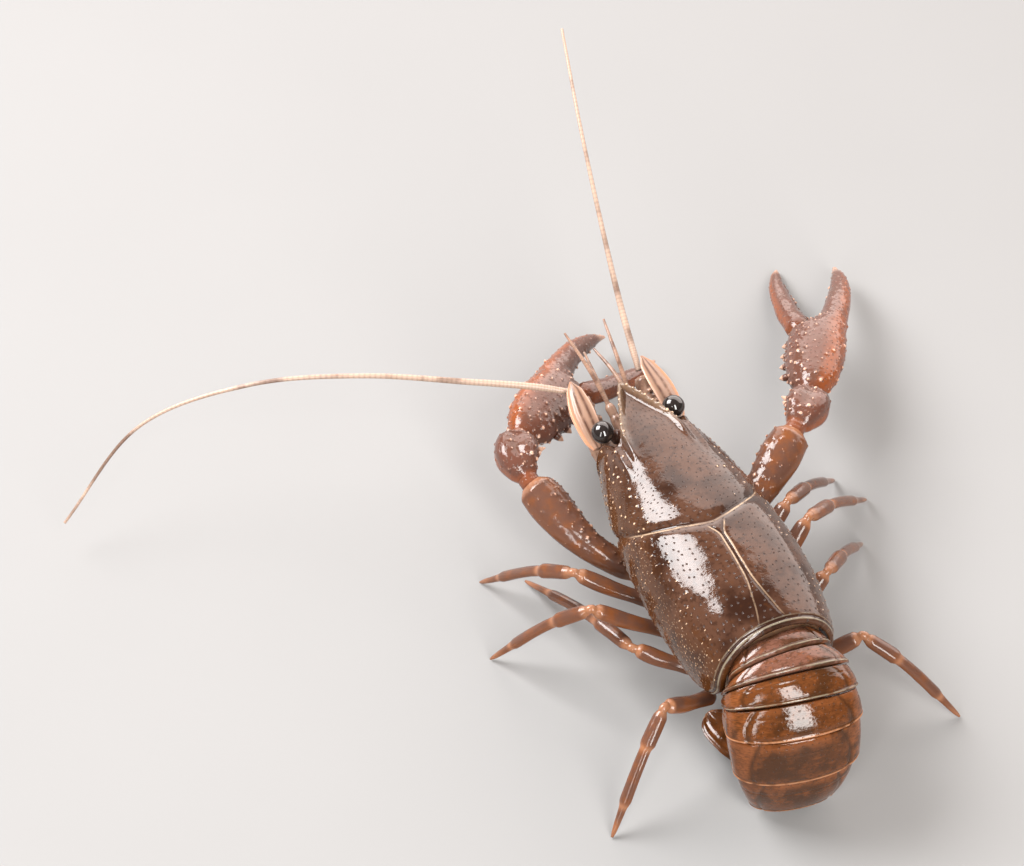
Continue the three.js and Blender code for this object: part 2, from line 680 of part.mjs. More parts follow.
const LEGS = {
  left_2: [onBody(-7.6, 26, 0.8), onBody(-19.5, 33, 7.4), point(-29, 49, 0.25)],
  left_3: [onBody(-7.6, 19.5, 0.8), onBody(-20.5, 24.4, 8.6), point(-34, 34, 0.25)],
  left_4: [onBody(-7.6, 11.5, 0.8), onBody(-16, 18, 3.2), point(-22, 46, 0.25)],
  left_5: [onBody(-7.6, 5.5, 0.8), onBody(-17.5, 3.4, 6.4), point(-31, -6, 0.25)],
  right_2: [onBody(7.6, 26, 0.8), onBody(19.4, 31.6, 7), point(35, 43, 0.25)],
  right_3: [onBody(7.6, 19.5, 0.8), onBody(20.5, 26.5, 8), point(38, 37, 0.25)],
  right_4: [onBody(7.6, 12.5, 0.8), onBody(19, 16.5, 6.2), point(33, 29, 0.25)],
  right_5: [onBody(7.6, 5.5, 0.8), onBody(18, 2.4, 6.4), point(31, -9, 0.25)],
};

// Stations [t, half width, half thickness], as shares of LEG_RADIUS
const UPPER_LEG = [
  [0, 0.69, 0.69], [0.08, 0.97, 0.9], [0.3, 0.86, 0.79], [0.75, 1, 0.93], [0.93, 0.9, 0.83],
  [1, 0.55, 0.55],
];
const LOWER_LEG = [
  [0, 0.52, 0.52], [0.05, 0.83, 0.76], [0.25, 0.9, 0.83], [0.3, 0.66, 0.62], [0.7, 0.69, 0.59],
  [0.76, 0.48, 0.45], [0.95, 0.28, 0.28], [1, 0.14, 0.14],
];

function makeLegs() {
  const legSizes = (stations) => stations.map(([t, width, thickness]) => [
    t, width * LEG_RADIUS, thickness * LEG_RADIUS,
  ]);
  const up = point(0, 0, 1);
  Object.entries(LEGS).forEach(([name, [base, knee, foot]]) => {
    const rise = knee.clone().sub(base).normalize();
    const fall = foot.clone().sub(knee).normalize();
    const upperMiddle = base.clone().lerp(knee, 0.5).add(point(0, 0, -0.6));
    const upperEnd = knee.clone().addScaledVector(rise, -KNEE_GAP);
    const upper = limb([base, upperMiddle, upperEnd], legSizes(UPPER_LEG), 7, 7, up);
    add(`leg_upper_${name}`, upper, LIMB_RED);
    const lowerStart = knee.clone().addScaledVector(fall, KNEE_GAP);
    const lowerMiddle = knee.clone().lerp(foot, 0.42).add(point(0, 0, 1.6));
    const lower = limb([lowerStart, lowerMiddle, foot], legSizes(LOWER_LEG), 7, 10, up);
    add(`leg_lower_${name}`, lower, LIMB_RED);
  });
}

makeCarapace();
makeBreast();
makeAbdomen();
makeSwimLegs();
makeTailFan();
makeHead();
makeClaws();
makeLegs();

const footprint = new THREE.Box3().setFromObject(group);
const middle = footprint.getCenter(new THREE.Vector3());
group.children.forEach((mesh) => mesh.geometry.translate(-middle.x, -middle.y, -footprint.min.z));

export default group;
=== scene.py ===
"""A raw crayfish, wet and glossy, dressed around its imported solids.

Lengths are millimetres on the body, measured from the floor below the middle of the
carapace's rear edge, with X to the animal's right, Y to its head and Z up. build_piece
moves them to the frame's own origin and metres. A table of stations is a list of
[share of the length, value, ...], and the values run smoothly between them.
"""

import math
from types import SimpleNamespace

import bmesh
import bpy
import numpy as np
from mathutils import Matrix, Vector
from mathutils.kdtree import KDTree


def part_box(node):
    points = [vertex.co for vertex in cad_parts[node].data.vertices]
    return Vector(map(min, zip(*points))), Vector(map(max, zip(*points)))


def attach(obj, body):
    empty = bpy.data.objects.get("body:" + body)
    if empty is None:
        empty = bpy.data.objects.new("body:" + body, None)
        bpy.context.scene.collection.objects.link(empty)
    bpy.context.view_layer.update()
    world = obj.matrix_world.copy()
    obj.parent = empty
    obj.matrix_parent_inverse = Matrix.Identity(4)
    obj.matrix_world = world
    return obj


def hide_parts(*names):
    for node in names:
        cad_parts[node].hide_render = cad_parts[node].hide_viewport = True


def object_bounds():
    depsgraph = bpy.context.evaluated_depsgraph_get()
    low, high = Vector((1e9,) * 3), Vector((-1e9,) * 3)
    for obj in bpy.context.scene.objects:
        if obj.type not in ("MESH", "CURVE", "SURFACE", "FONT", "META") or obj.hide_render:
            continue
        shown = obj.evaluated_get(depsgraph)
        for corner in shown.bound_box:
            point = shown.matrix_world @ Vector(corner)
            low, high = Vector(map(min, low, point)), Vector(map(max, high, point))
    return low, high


bl_info = {
    "name": "Raw Crayfish",
    "version": (1, 0, 0),
    "blender": (4, 5, 0),
    "location": "3D View > Sidebar > Crayfish",
    "description": "Builds the shell, limbs and wet finish of a raw crayfish around its solids",
    "category": "Object",
}

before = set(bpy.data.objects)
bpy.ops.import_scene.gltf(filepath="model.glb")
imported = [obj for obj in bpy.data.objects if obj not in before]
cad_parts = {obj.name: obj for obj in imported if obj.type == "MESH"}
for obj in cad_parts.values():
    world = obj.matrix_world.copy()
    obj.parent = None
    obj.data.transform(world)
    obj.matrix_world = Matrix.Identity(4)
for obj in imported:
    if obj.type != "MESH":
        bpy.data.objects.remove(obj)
CAD_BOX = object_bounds()

MM = 0.001
SIDES = {"left": -1, "right": 1}
UP = np.array([0.0, 0.0, 1.0])

# How high the breast stands above the floor
BREAST_Z = 10.0

# Light in wet shell and in the eyes, and how deep and how red it goes under the skin
WET_IOR = 1.36
EYE_IOR = 1.55
UNDER_SKIN_DEPTH = 1.5
UNDER_SKIN_TINT = (1.0, 0.4, 0.2)

# Carapace
CARAPACE_LENGTH = 57.0
CARAPACE_HALF_WIDTH = 13.2
CARAPACE_TOP = BREAST_Z + 24.5
CARAPACE_WIDEST_Z = BREAST_Z + 13.5
CARAPACE_LOW_Z = BREAST_Z + 5
CARAPACE_WIDEST_Y = 16.0
CARAPACE_REAR_REACH = 27.8
CARAPACE_FRONT_REACH = 39.5
CARAPACE_ARC = math.radians(130)
SHELL_THICKNESS = 1.0
CHEEK_Y = 46.0
ROSTRUM_LENGTH = 10.5
ROSTRUM_HALF_WIDTH = 4.6
NECK_GROOVE_Y = 22.3
NECK_GROOVE_SWEEP = 14.0
NECK_GROOVE_DEPTH = 0.55
NECK_GROOVE_WIDTH = 1.1
NECK_SHARE = 0.42
RIM_ROUNDING = 0.45
BACK_LINES_MEET_Y = 11.5
ROSTRUM_RIDGE_INSET = 0.42
INNER_STEP = 8

# Abdomen: exposed length of each ring along its back, turn, half width and depth
RING_LENGTHS = [3.6, 3.8, 5.0, 6.5, 9.5, 10.9]
RING_TURNS = [5, 12, 26, 45, 66, 89, 112]
RING_HALF_WIDTHS = [8.1, 9.0, 10.6, 11.0, 11.2, 10.4, 7.4]
RING_DEPTHS = [9.5, 10.4, 11.0, 11.0, 10.4, 8.8, 5.6]
ABDOMEN_START = np.array([0, 0.3, BREAST_Z + 21.2])
ABDOMEN_SWAY = math.radians(12)
RING_STEP = 0.45
RING_GAP = 0.3
RING_HALF_COLUMNS = 84
FLAP_LOBE = 2.2
# Seam above a side flap, as shares of the way from the back to the belly
SUTURE_AT = 0.25
SUTURE_WIDTH = 0.012
# Rings counted from the front with mauve backs, part own tone and part painted sheen, or with grey rims,
# and the one whose back is darkest
MAUVE_RINGS = 2
GREY_RIMMED_RINGS = 3
DOME_RING = 4

# Tail fan
TELSON_LENGTH = 13.0
TELSON_HALF_WIDTH = 4.3
FAN_BLADE_LENGTH = 13.5
FAN_BLADE_HALF_WIDTH = 3.6
BLADE_THICKNESS = 1.3

# Limbs
MOVING_FINGER_LENGTH = 23.0
PALM_HALF_WIDTH = 5.3
PALM_HALF_THICKNESS = 3.7
HAND_BOW = 1.2
LEG_RADIUS = 1.45
KNEE_GAP = 0.72
EYE_RADIUS = 1.9


def on_body(x, y, z):
    """Point carried by the body, its height taken from the breast."""
    return np.array([x, y, z + BREAST_Z], float)


def node_middle(node):
    """Middle of a solid's box, in metres."""
    low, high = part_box(node)
    return (np.array(low) + np.array(high)) / 2


EYE_AT = on_body(6.5, 49.4, 18.6)
BODY_AT = node_middle("eye_right") - EYE_AT * MM


# ---------------------------------------------------------------- sizes people change

def colour(name, note, value):
    """A colour that a user can change, in linear light."""
    return bpy.props.FloatVectorProperty(
        name=name, description=note, subtype="COLOR", size=3, min=0, max=1, default=value)


def length(name, note, value):
    """A length that a user can change, in metres."""
    return bpy.props.FloatProperty(
        name=name, description=note, unit="LENGTH", min=0, default=value, precision=5)


def power(name, note, value):
    """A light's power that a user can change, in watts."""
    return bpy.props.FloatProperty(name=name, description=f"{note}, in watts", min=0, default=value)


def rotation(name, note, degrees):
    """An angle that a user can change."""
    return bpy.props.FloatProperty(
        name=name, description=note, unit="ROTATION", default=math.radians(degrees))


class CrayfishShellSettings(bpy.types.PropertyGroup):
    back: colour("Back", "Maroon brown of the back", (0.055, 0.025, 0.015))
    back_dark: colour("Dark mottle", "Darkest patches of the back", (0.018, 0.007, 0.004))
    flank: colour("Flank", "Brown of the sides", (0.054, 0.018, 0.0045))
    low_flank: colour("Low flank", "Orange brown near the lower edge", (0.125, 0.042, 0.012))
    # Pale grain tips: partly the grains' own tone, partly painted glints on them
    grain: colour("Grains", "Pale tips of the grains", (0.50, 0.335, 0.215))
    line: colour("Lines", "Cream seams of the back", (0.29, 0.20, 0.13))
    rim: colour("Rim", "Grey green rim of the rear edge", (0.19, 0.162, 0.115))
    grain_spacing: length("Grain spacing", "Least distance between grains", 0.00120)
    grain_radius: length("Grain radius", "Radius of a grain", 0.00030)
    grain_height: length("Grain height", "Height of a grain", 0.00011)
    pit_spacing: length("Pit spacing", "Distance between the pits of the back", 0.00135)
    pit_radius: length("Pit radius", "Radius of a pit of the back", 0.00021)


class CrayfishTailSettings(bpy.types.PropertyGroup):
    back: colour("Back", "Amber brown of the rings", (0.084, 0.026, 0.007))
    # Mauve of the first rings: partly their own tone, partly painted sheen
    first: colour("First rings", "Mauve brown of the first two rings", (0.12, 0.054, 0.038))
    dark: colour("Dark patches", "Brown black patches of the rings", (0.032, 0.012, 0.004))
    side: colour("Side flaps", "Orange of the side flaps", (0.15, 0.047, 0.014))
    rim: colour("Rim", "Pale orange rear rim of the last rings", (0.30, 0.14, 0.07))
    grey_rim: colour("Grey rim", "Grey green rim of the first rings", (0.155, 0.13, 0.092))
    belly: colour("Belly", "Pale brown skin underneath", (0.28, 0.15, 0.085))


class CrayfishLimbSettings(bpy.types.PropertyGroup):
    leg: colour("Legs", "Orange brown of the legs", (0.125, 0.042, 0.015))
    leg_top: colour("Leg tops", "Mauve brown on top of the legs", (0.078, 0.036, 0.024))
    joint: colour("Joints", "Pale skin at the joints", (0.36, 0.16, 0.08))
    claw: colour("Claws", "Dark red brown of the claws", (0.085, 0.034, 0.023))
    claw_side: colour("Claw sides", "Red orange of the claws' sides", (0.17, 0.046, 0.015))
    spike: colour("Spikes", "Pale spikes and teeth", (0.46, 0.28, 0.20))
    feeler: colour("Feelers", "Pinkish tan of the feelers", (0.22, 0.13, 0.09))
    feeler_dark: colour("Feeler stripes", "Brown stripes of the feelers", (0.060, 0.027, 0.018))
    whip: colour("Whips", "Pale tan of the long whips", (0.33, 0.235, 0.18))
    eye: colour("Eyes", "Black of the eyes", (0.006, 0.005, 0.005))
    eye_grain: colour("Eye grain", "Brown black grain of the eyes", (0.02, 0.014, 0.012))


class CrayfishStageSettings(bpy.types.PropertyGroup):
    floor: colour("Floor", "Pale floor", (0.19, 0.188, 0.186))
    softbox_power: power("Softbox", "Power of the main softbox", 6.8)
    front_power: power("Front boxes", "Power of the tall box in front", 12)
    panel_power: power("Panel", "Power of the wide panel", 35)
    azimuth: rotation("Azimuth", "Turn of the camera round the animal", -25)
    elevation: rotation("Elevation", "Height of the camera above the floor", 52)
    distance: length("Distance", "From the camera to the animal", 0.71)


# ---------------------------------------------------------------- shader maths

class Wire:
    """A socket of a finish's nodes, with the operators that its maths uses."""

    def __init__(self, finish, socket):
        self.finish = finish
        self.socket = socket

    def math(self, operation, *values):
        return self.finish.node("ShaderNodeMath", {"operation": operation}, dict(enumerate(values)))

    def __add__(self, other):
        return self.math("ADD", self, other)

    def __sub__(self, other):
        return self.math("SUBTRACT", self, other)

    def __rsub__(self, other):
        return self.math("SUBTRACT", other, self)

    def __mul__(self, other):
        return self.math("MULTIPLY", self, other)

    def __abs__(self):
        return self.math("ABSOLUTE", self)

    __radd__ = __add__
    __rmul__ = __mul__


class Finish:
    """One material, and the nodes that its maths adds."""

    def __init__(self, name):
        self.material = bpy.data.materials.new(name)
        self.material.use_nodes = True
        self.tree = self.material.node_tree
        self.tree.nodes.clear()
        self.place = self.node("ShaderNodeTexCoord", output="Object")

    def node(self, kind, settings=None, sockets=None, output=0):
        """Adds a node of any kind: its settings first, then its sockets' values and links.

        Gives the wire from its output, or nothing where it has none.
        """
        node = self.tree.nodes.new(kind)
        for name, value in (settings or {}).items():
            setattr(node, name, value)
        for key, value in (sockets or {}).items():
            if isinstance(value, Wire):
                self.tree.links.new(value.socket, node.inputs[key])
            elif node.inputs[key].type == "RGBA":
                node.inputs[key].default_value = (*value, 1)
            else:
                node.inputs[key].default_value = value
        return Wire(self, node.outputs[output]) if node.outputs else None

    def value(self, name):
        """A value that the mesh carries at each point."""
        return self.node("ShaderNodeAttribute", {"attribute_name": name}, output="Fac")

    def noise(self, size, detail=3.0):
        """Soft patches about size millimetres wide, from 0 to 1."""
        return self.node("ShaderNodeTexNoise", sockets={
            "Vector": self.place, "Scale": 1 / (size * MM), "Detail": detail})

    def on_skin(self, across=1.0, along=1.0):
        """Place on the skin in millimetres, from the values around and along, each divided."""
        return self.node("ShaderNodeCombineXYZ", sockets={
            0: self.value("around") * (1 / across), 1: self.value("along") * (1 / along)})

    def streaks(self, across, along, detail=3.0):
        """Soft streaks on the skin, of that many millimetres across and along the body."""
        return self.node("ShaderNodeTexNoise", {"noise_dimensions": "2D"}, {
            "Vector": self.on_skin(across, along), "Scale": 1.0, "Detail": detail})

    def dots(self, spacing, radius, chance=0.7):
        """1 in round dots on the skin, spacing and radius in millimetres, set out unevenly."""
        far = self.node("ShaderNodeTexVoronoi", {"voronoi_dimensions": "2D"}, {
            "Vector": self.on_skin(), "Scale": 1 / spacing, "Randomness": chance})
        return 1 - self.ease(far, 0.5 * radius / spacing, radius / spacing)

    def line(self, distance, at, width):
        """1 on a thin line where distance is at, both in millimetres."""
        return 1 - self.ease(abs(distance - at), 0.25 * width, 0.75 * width)

    def ease(self, value, low, high):
        """0 below low, 1 above high and smooth between."""
        return self.node("ShaderNodeMapRange", {"interpolation_type": "SMOOTHSTEP"}, {
            "Value": value, "From Min": low, "From Max": high})

    def blend(self, below, above, amount):
        """Colour above over colour below."""
        return self.node("ShaderNodeMix", {"data_type": "RGBA"}, {0: amount, 6: below, 7: above}, 2)

    def paint(self, below, *layers):
        """Layers of (colour, amount), each over the last."""
        for above, amount in layers:
            below = self.blend(below, above, amount)
        return below

    def finish(self, shade, roughness, relief=None, height=0.0, ior=WET_IOR, under_skin=0.0):
        """Closes the material: its colour, its roughness and a relief height millimetres high."""
        sockets = {
            "Base Color": shade, "Roughness": roughness, "IOR": ior, "Subsurface Weight": under_skin,
            "Subsurface Scale": UNDER_SKIN_DEPTH * MM, "Subsurface Radius": UNDER_SKIN_TINT,
        }
        if relief is not None:
            sockets["Normal"] = self.node("ShaderNodeBump", sockets={
                "Strength": 1.0, "Distance": height * MM, "Height": relief})
        self.node("ShaderNodeOutputMaterial", sockets={
            "Surface": self.node("ShaderNodeBsdfPrincipled", sockets=sockets)})
        return self.material


# ---------------------------------------------------------------- shared geometry

def clamp01(value):
    """Value kept from 0 to 1."""
    return np.clip(value, 0, 1)


def smooth(low, high, value):
    """0 below low, 1 above high and smooth between."""
    t = clamp01((value - low) / (high - low))
    return t * t * (3 - 2 * t)


def mix(a, b, t):
    """A share t of the way from a to b."""
    return a + (b - a) * t


def hump(value, width):
    """1 at zero, falling away as a bell of that width."""
    return np.exp(-(value / width) ** 2)


def ridges(distance, *rows):
    """Height of ridges along a line: rows of (distance from it, width, height or depth)."""
    return sum(height * hump(distance - at, width) for at, width, height in rows)


def unit(vectors):
    """Vectors made one long."""
    return vectors / np.maximum(np.linalg.norm(vectors, axis=-1, keepdims=True), 1e-9)


def eased(stations, t, which):
    """A column of stations at the shares t, on a smooth curve that never overshoots them."""
    table = np.array(stations, float)
    places, values = table[:, 0], table[:, which]
    slopes = np.diff(values) / np.diff(places)
    product = slopes[:-1] * slopes[1:]
    total = slopes[:-1] + slopes[1:]
    total = np.where(np.abs(total) < 1e-9, 1, total)
    inner = np.where(product > 0, 2 * product / total, 0)
    tangents = np.concatenate([slopes[:1], inner, slopes[-1:]])
    i = np.clip(np.searchsorted(places, t, side="right") - 1, 0, len(places) - 2)
    span = places[i + 1] - places[i]
    s = clamp01((t - places[i]) / span)
    return (values[i] * (1 + 2 * s) * (1 - s) ** 2 + tangents[i] * span * s * (1 - s) ** 2
            + values[i + 1] * s * s * (3 - 2 * s) + tangents[i + 1] * span * s * s * (s - 1))


def wobble(points, size, seed):
    """Smooth uneven field from -1 to 1, its swells about size millimetres wide."""
    rng = np.random.default_rng(seed)
    waves = 9
    directions = unit(rng.normal(size=(waves, 3))) * rng.uniform(0.6, 1.5, (waves, 1))
    phases = rng.uniform(0, 2 * math.pi, waves)
    return np.sin(points @ directions.T * (math.pi / size) + phases).sum(-1) / (waves * 0.7)


def with_fine_ends(count, ends=5):
    """0 to 1 in count steps, the first and last few of them much shorter."""
    i = np.arange(count)
    steps = 1 - 0.8 * hump(i, ends) - 0.8 * hump(count - 1 - i, ends)
    return np.concatenate([[0], np.cumsum(steps) / steps.sum()])


def curve(line, t):
    """Points and directions along a centripetal curve through line, at shares t of its length."""
    line = np.array(line, float)
    ends = [2 * line[0] - line[1], *line, 2 * line[-1] - line[-2]]
    samples = []
    u = np.linspace(0, 1, 81)[:, None]
    for p0, p1, p2, p3 in zip(ends, ends[1:], ends[2:], ends[3:]):
        d0, d1, d2 = (max(np.linalg.norm(b - a) ** 0.5, 1e-4)
                      for a, b in ((p0, p1), (p1, p2), (p2, p3)))
        start = ((p1 - p0) / d0 - (p2 - p0) / (d0 + d1) + (p2 - p1) / d1) * d1
        end = ((p2 - p1) / d1 - (p3 - p1) / (d1 + d2) + (p3 - p2) / d2) * d1
        part = (p1 + start * u + (3 * (p2 - p1) - 2 * start - end) * u ** 2
                + (2 * (p1 - p2) + start + end) * u ** 3)
        samples.append(part if not samples else part[1:])
    points = np.concatenate(samples)
    along = np.concatenate([[0], np.cumsum(np.linalg.norm(np.diff(points, axis=0), axis=1))])
    along /= along[-1]
    at = np.stack([np.interp(t, along, points[:, k]) for k in range(3)], -1)
    slope = np.gradient(points, along, axis=0)
    direction = np.stack([np.interp(t, along, slope[:, k]) for k in range(3)], -1)
    return at, unit(direction)


def grid_normals(points, closed):
    """Outward or inward unit normals of a grid of points."""
    down = np.gradient(points, axis=0)
    if closed:
        across = (np.roll(points, -1, axis=1) - np.roll(points, 1, axis=1)) / 2
    else:
        across = np.gradient(points, axis=1)
    return unit(np.cross(down, across))


class Skin:
    """A grid of points on a surface, with named values at each of them."""

    def __init__(self, points, closed=True):
        self.points = points
        self.closed = closed
        self.values = {}

    def normals(self):
        """Unit normals that point out of the body."""
        normals = grid_normals(self.points, self.closed)
        middle = self.points.mean(axis=1, keepdims=True)
        outward = np.sum(normals * (self.points - middle)) > 0
        return normals if outward else -normals

    def push(self, height):
        """Moves each point out along its normal."""
        self.points = self.points + self.normals() * height[..., None]

    def put(self, name, value):
        """Keeps the larger of a value's old and new amounts."""
        value = np.broadcast_to(value, self.points.shape[:2])
        self.values[name] = np.maximum(self.values.get(name, 0), value)

    def mark(self, name, distance):
        """Keeps a distance in millimetres, which may be negative."""
        self.values[name] = np.broadcast_to(distance, self.points.shape[:2])

    def mark_place(self):
        """Keeps each point's distance along, and around from the first or an open skin's middle column."""
        ring = self.points
        if self.closed:
            ring = np.concatenate([ring, ring[:, :1]], axis=1)
        steps = np.linalg.norm(np.diff(ring, axis=1), axis=-1)
        around = np.concatenate([np.zeros((len(steps), 1)), np.cumsum(steps, axis=1)], axis=1)
        columns = self.points.shape[1]
        middle = 0 if self.closed else columns // 2
        around = around[:, :columns] - around[:, middle:middle + 1]
        if self.closed:
            around = np.minimum(around, around[:, -1:] + steps[:, -1:] - around)
        self.mark("around", around)
        lengths = np.linalg.norm(np.diff(self.points[:, middle], axis=0), axis=-1)
        self.mark("along", np.concatenate([[0], np.cumsum(lengths)])[:, None])

    def scatter(self, where, spacing, seed):
        """Points of the grid at least spacing apart, drawn by chance where where is high."""
        rng = np.random.default_rng(seed)
        flat = self.points.reshape(-1, 3)
        chance = rng.random(len(flat)) < np.broadcast_to(where, self.points.shape[:2]).reshape(-1)
        order = rng.permutation(np.flatnonzero(chance))
        taken = {}
        kept = []
        steps = [(i, j, k) for i in (-1, 0, 1) for j in (-1, 0, 1) for k in (-1, 0, 1)]
        for index, (x, y, z) in zip(order, np.floor(flat[order] / spacing).astype(int).tolist()):
            near = [taken[cell] for i, j, k in steps if (cell := (x + i, y + j, z + k)) in taken]
            if all(np.sum((flat[other] - flat[index]) ** 2) > spacing ** 2 for other in near):
                taken[x, y, z] = index
                kept.append(index)
        return flat[kept]

    def grains(self, centres, radius, height, name, seed, spread=0.35):
        """Raises a round grain at each centre, uneven in size, and marks it with a value."""
        if not len(centres):
            return
        rng = np.random.default_rng(seed)
        sizes = rng.uniform(1 - spread, 1 + spread, len(centres))
        tree = KDTree(len(centres))
        for i, centre in enumerate(centres):
            tree.insert(centre, i)
        tree.balance()
        flat = self.points.reshape(-1, 3)
        nearest, far = zip(*(tree.find(point)[1:] for point in flat))
        size = sizes[list(nearest)]
        bump = (1 - smooth(0.1, 1.0, np.array(far) / (radius * size))) * size
        bump = bump.reshape(self.points.shape[:2])
        self.push(bump * height)
        self.put(name, clamp01(bump * 1.3))


def quads(rows, columns, closed, first=0):
    """Faces of a grid whose points are numbered row by row from first."""
    index = np.arange(rows * columns).reshape(rows, columns) + first
    if closed:
        index = np.concatenate([index, index[:, :1]], axis=1)
    corners = [index[:-1, :-1], index[1:, :-1], index[1:, 1:], index[:-1, 1:]]
    return np.stack(corners, -1).reshape(-1, 4).tolist()


def tube_part(skin):
    """Points, faces and values of a closed tube, each end closed by a fan."""
    rows, columns = skin.points.shape[:2]
    points = skin.points.reshape(-1, 3)
    faces = quads(rows, columns, True)
    values = {name: value.reshape(-1) for name, value in skin.values.items()}
    for row in (0, rows - 1):
        hub = len(points)
        points = np.vstack([points, skin.points[row].mean(axis=0)])
        ring = row * columns + np.arange(columns)
        faces += [[hub, int(a), int(b)] for a, b in zip(ring, np.roll(ring, -1))]
        values = {name: np.append(value, value[ring].mean()) for name, value in values.items()}
    return points, faces, values


def shell_part(skin, inner, step):
    """Closed shell: a fine outer grid over a coarse inner one that has every step-th line."""
    rows, columns = skin.points.shape[:2]
    fine = np.arange(rows * columns).reshape(rows, columns)
    coarse_shape = inner.shape[:2]
    coarse = np.arange(inner[..., 0].size).reshape(coarse_shape) + fine.size
    faces = quads(rows, columns, False)
    faces += quads(*coarse_shape, False, fine.size)
    for border in (np.s_[0], np.s_[-1], np.s_[:, 0], np.s_[:, -1]):
        outside, inside = fine[border], coarse[border]
        for k in range(len(inside) - 1):
            edge = outside[k * step:(k + 1) * step + 1].tolist()
            faces.append(edge + [int(inside[k + 1]), int(inside[k])])
    points = np.vstack([skin.points.reshape(-1, 3), inner.reshape(-1, 3)])
    values = {name: np.concatenate([value.reshape(-1), value[::step, ::step].reshape(-1)])
              for name, value in skin.values.items()}
    return points, faces, values


def link_new(name, data):
    """New object in the scene."""
    made = bpy.data.objects.new(name, data)
    bpy.context.scene.collection.objects.link(made)
    return made


def build_piece(node, slot, material, *parts):
    """One mesh from parts (points, faces, values), which stands for a solid of the frame."""
    names = {name for part in parts for name in part[2]}
    points, faces = [], []
    values = {name: [] for name in names}
    first = 0
    for part_points, part_faces, part_values in parts:
        faces += [[i + first for i in face] for face in part_faces]
        for name in names:
            values[name].append(part_values.get(name, np.zeros(len(part_points))))
        points.append(part_points)
        first += len(part_points)
    points = np.concatenate(points) * MM + BODY_AT
    mesh = bpy.data.meshes.new(f"{node}_surface")
    mesh.from_pydata(points.tolist(), [], faces)
    shape = bmesh.new()
    shape.from_mesh(mesh)
    bmesh.ops.recalc_face_normals(shape, faces=shape.faces)
    shape.to_mesh(mesh)
    shape.free()
    for name, arrays in values.items():
        attribute = mesh.attributes.new(name, "FLOAT", "POINT")
        attribute.data.foreach_set("value", np.concatenate(arrays).astype(np.float32))
    mesh.shade_smooth()
    mesh.materials.append(material)
    piece = link_new(f"{node}_surface", mesh)
    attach(piece, "root")
    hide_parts(node)


def limb(line, stations, sides, steps, up=UP, joints=()):
    """Skin of a limb along a smooth line, with sides columns and steps rows.

    Stations are [share, half width, half thickness, shift sideways], and the shift may be
    left out. Joints are (share, width) of the pale skin where two segments meet.
    """
    crowded = (1 - np.cos(np.linspace(0, math.pi, steps + 1))) / 2
    t = mix(np.linspace(0, 1, steps + 1), crowded, 0.6)
    middle, along = curve(line, t)
    side = unit(np.cross(along, up))
    over = np.cross(side, along)
    turn = np.arange(sides) / sides * 2 * math.pi
    width = eased(stations, t, 1)[:, None] * np.cos(turn)
    if len(stations[0]) > 3:
        width = width + eased(stations, t, 3)[:, None]
    height = eased(stations, t, 2)[:, None] * np.sin(turn)
    points = middle[:, None] + width[..., None] * side[:, None] + height[..., None] * over[:, None]
    skin = Skin(points)
    skin.t = np.broadcast_to(t[:, None], points.shape[:2])
    skin.turn = np.broadcast_to(turn[None], points.shape[:2])
    skin.put("top", smooth(-0.35, 0.75, skin.normals()[..., 2]))
    for share, width in joints:
        skin.put("joint", hump(skin.t - share, width))
    skin.mark_place()
    return skin


# ---------------------------------------------------------------- carapace

def half_width_at(y):
    """Half the width of the carapace at y."""
    reach = np.where(y < CARAPACE_WIDEST_Y, CARAPACE_REAR_REACH, CARAPACE_FRONT_REACH)
    share = (np.minimum(y, CHEEK_Y) - CARAPACE_WIDEST_Y) / reach
    return CARAPACE_HALF_WIDTH * np.sqrt(1 - share * share)


def top_at(y):
    """Height of the carapace's back at y."""
    back = clamp01((CARAPACE_WIDEST_Y - y) / CARAPACE_WIDEST_Y)
    front = np.maximum((y - CARAPACE_WIDEST_Y) / (CARAPACE_LENGTH - CARAPACE_WIDEST_Y), 0)
    return CARAPACE_TOP - 1.8 * back ** 2 - 4.4 * front ** 1.6


def section_point(y, angle, inset):
    """Point of the carapace's cross-section at y, an angle from its top and an inset."""
    quarter = math.pi / 2
    turn = np.abs(angle)
    width = half_width_at(y) - inset
    rise = top_at(y) - CARAPACE_WIDEST_Z - inset
    fall = CARAPACE_WIDEST_Z - CARAPACE_LOW_Z - 0.4 * inset - 2 * smooth(28, 46, y)
    low = clamp01((turn - quarter) / (CARAPACE_ARC - quarter))
    arch_x = width * np.sin(np.minimum(turn, quarter)) ** 0.9
    arch_z = CARAPACE_WIDEST_Z + rise * np.maximum(np.cos(turn), 0) ** 0.9
    x = np.where(turn > quarter, width * (1 - 0.17 * low * low), arch_x)
    z = np.where(turn > quarter, CARAPACE_WIDEST_Z - fall * low, arch_z)
    return np.stack(np.broadcast_arrays(np.sign(angle) * x, y, z), -1)


def rear_edge_at(angle):
    """Y of the rear edge: hollow above the flanks, drawn forward below."""
    turn = np.abs(angle)
    low = np.maximum(0, turn - math.pi / 2) / (CARAPACE_ARC - math.pi / 2)
    side = np.sin(np.minimum(turn, math.pi / 2))
    return -1.4 * side * side + 7 * low * low


def neck_groove_at(angle):
    """Y of the neck groove, which sweeps forward down the flanks."""
    return NECK_GROOVE_Y + NECK_GROOVE_SWEEP * (np.abs(angle) / math.radians(120)) ** 1.3


def front_edge_at(angle):
    """Y of the front edge: rostrum, hollow round the eye, cheek."""
    x = np.abs(section_point(CHEEK_Y, angle, 0)[..., 0])
    degrees = np.degrees(np.abs(angle))
    beak = CARAPACE_LENGTH - ROSTRUM_LENGTH * (x / ROSTRUM_HALF_WIDTH) ** 1.15
    orbit = mix(CARAPACE_LENGTH - ROSTRUM_LENGTH, 45.2, smooth(30, 37, degrees))
    cheek = orbit + 2.4 * smooth(44, 60, degrees) - 2.6 * smooth(80, 130, degrees)
    return np.where((x < ROSTRUM_HALF_WIDTH) & (degrees < 90), beak, cheek)


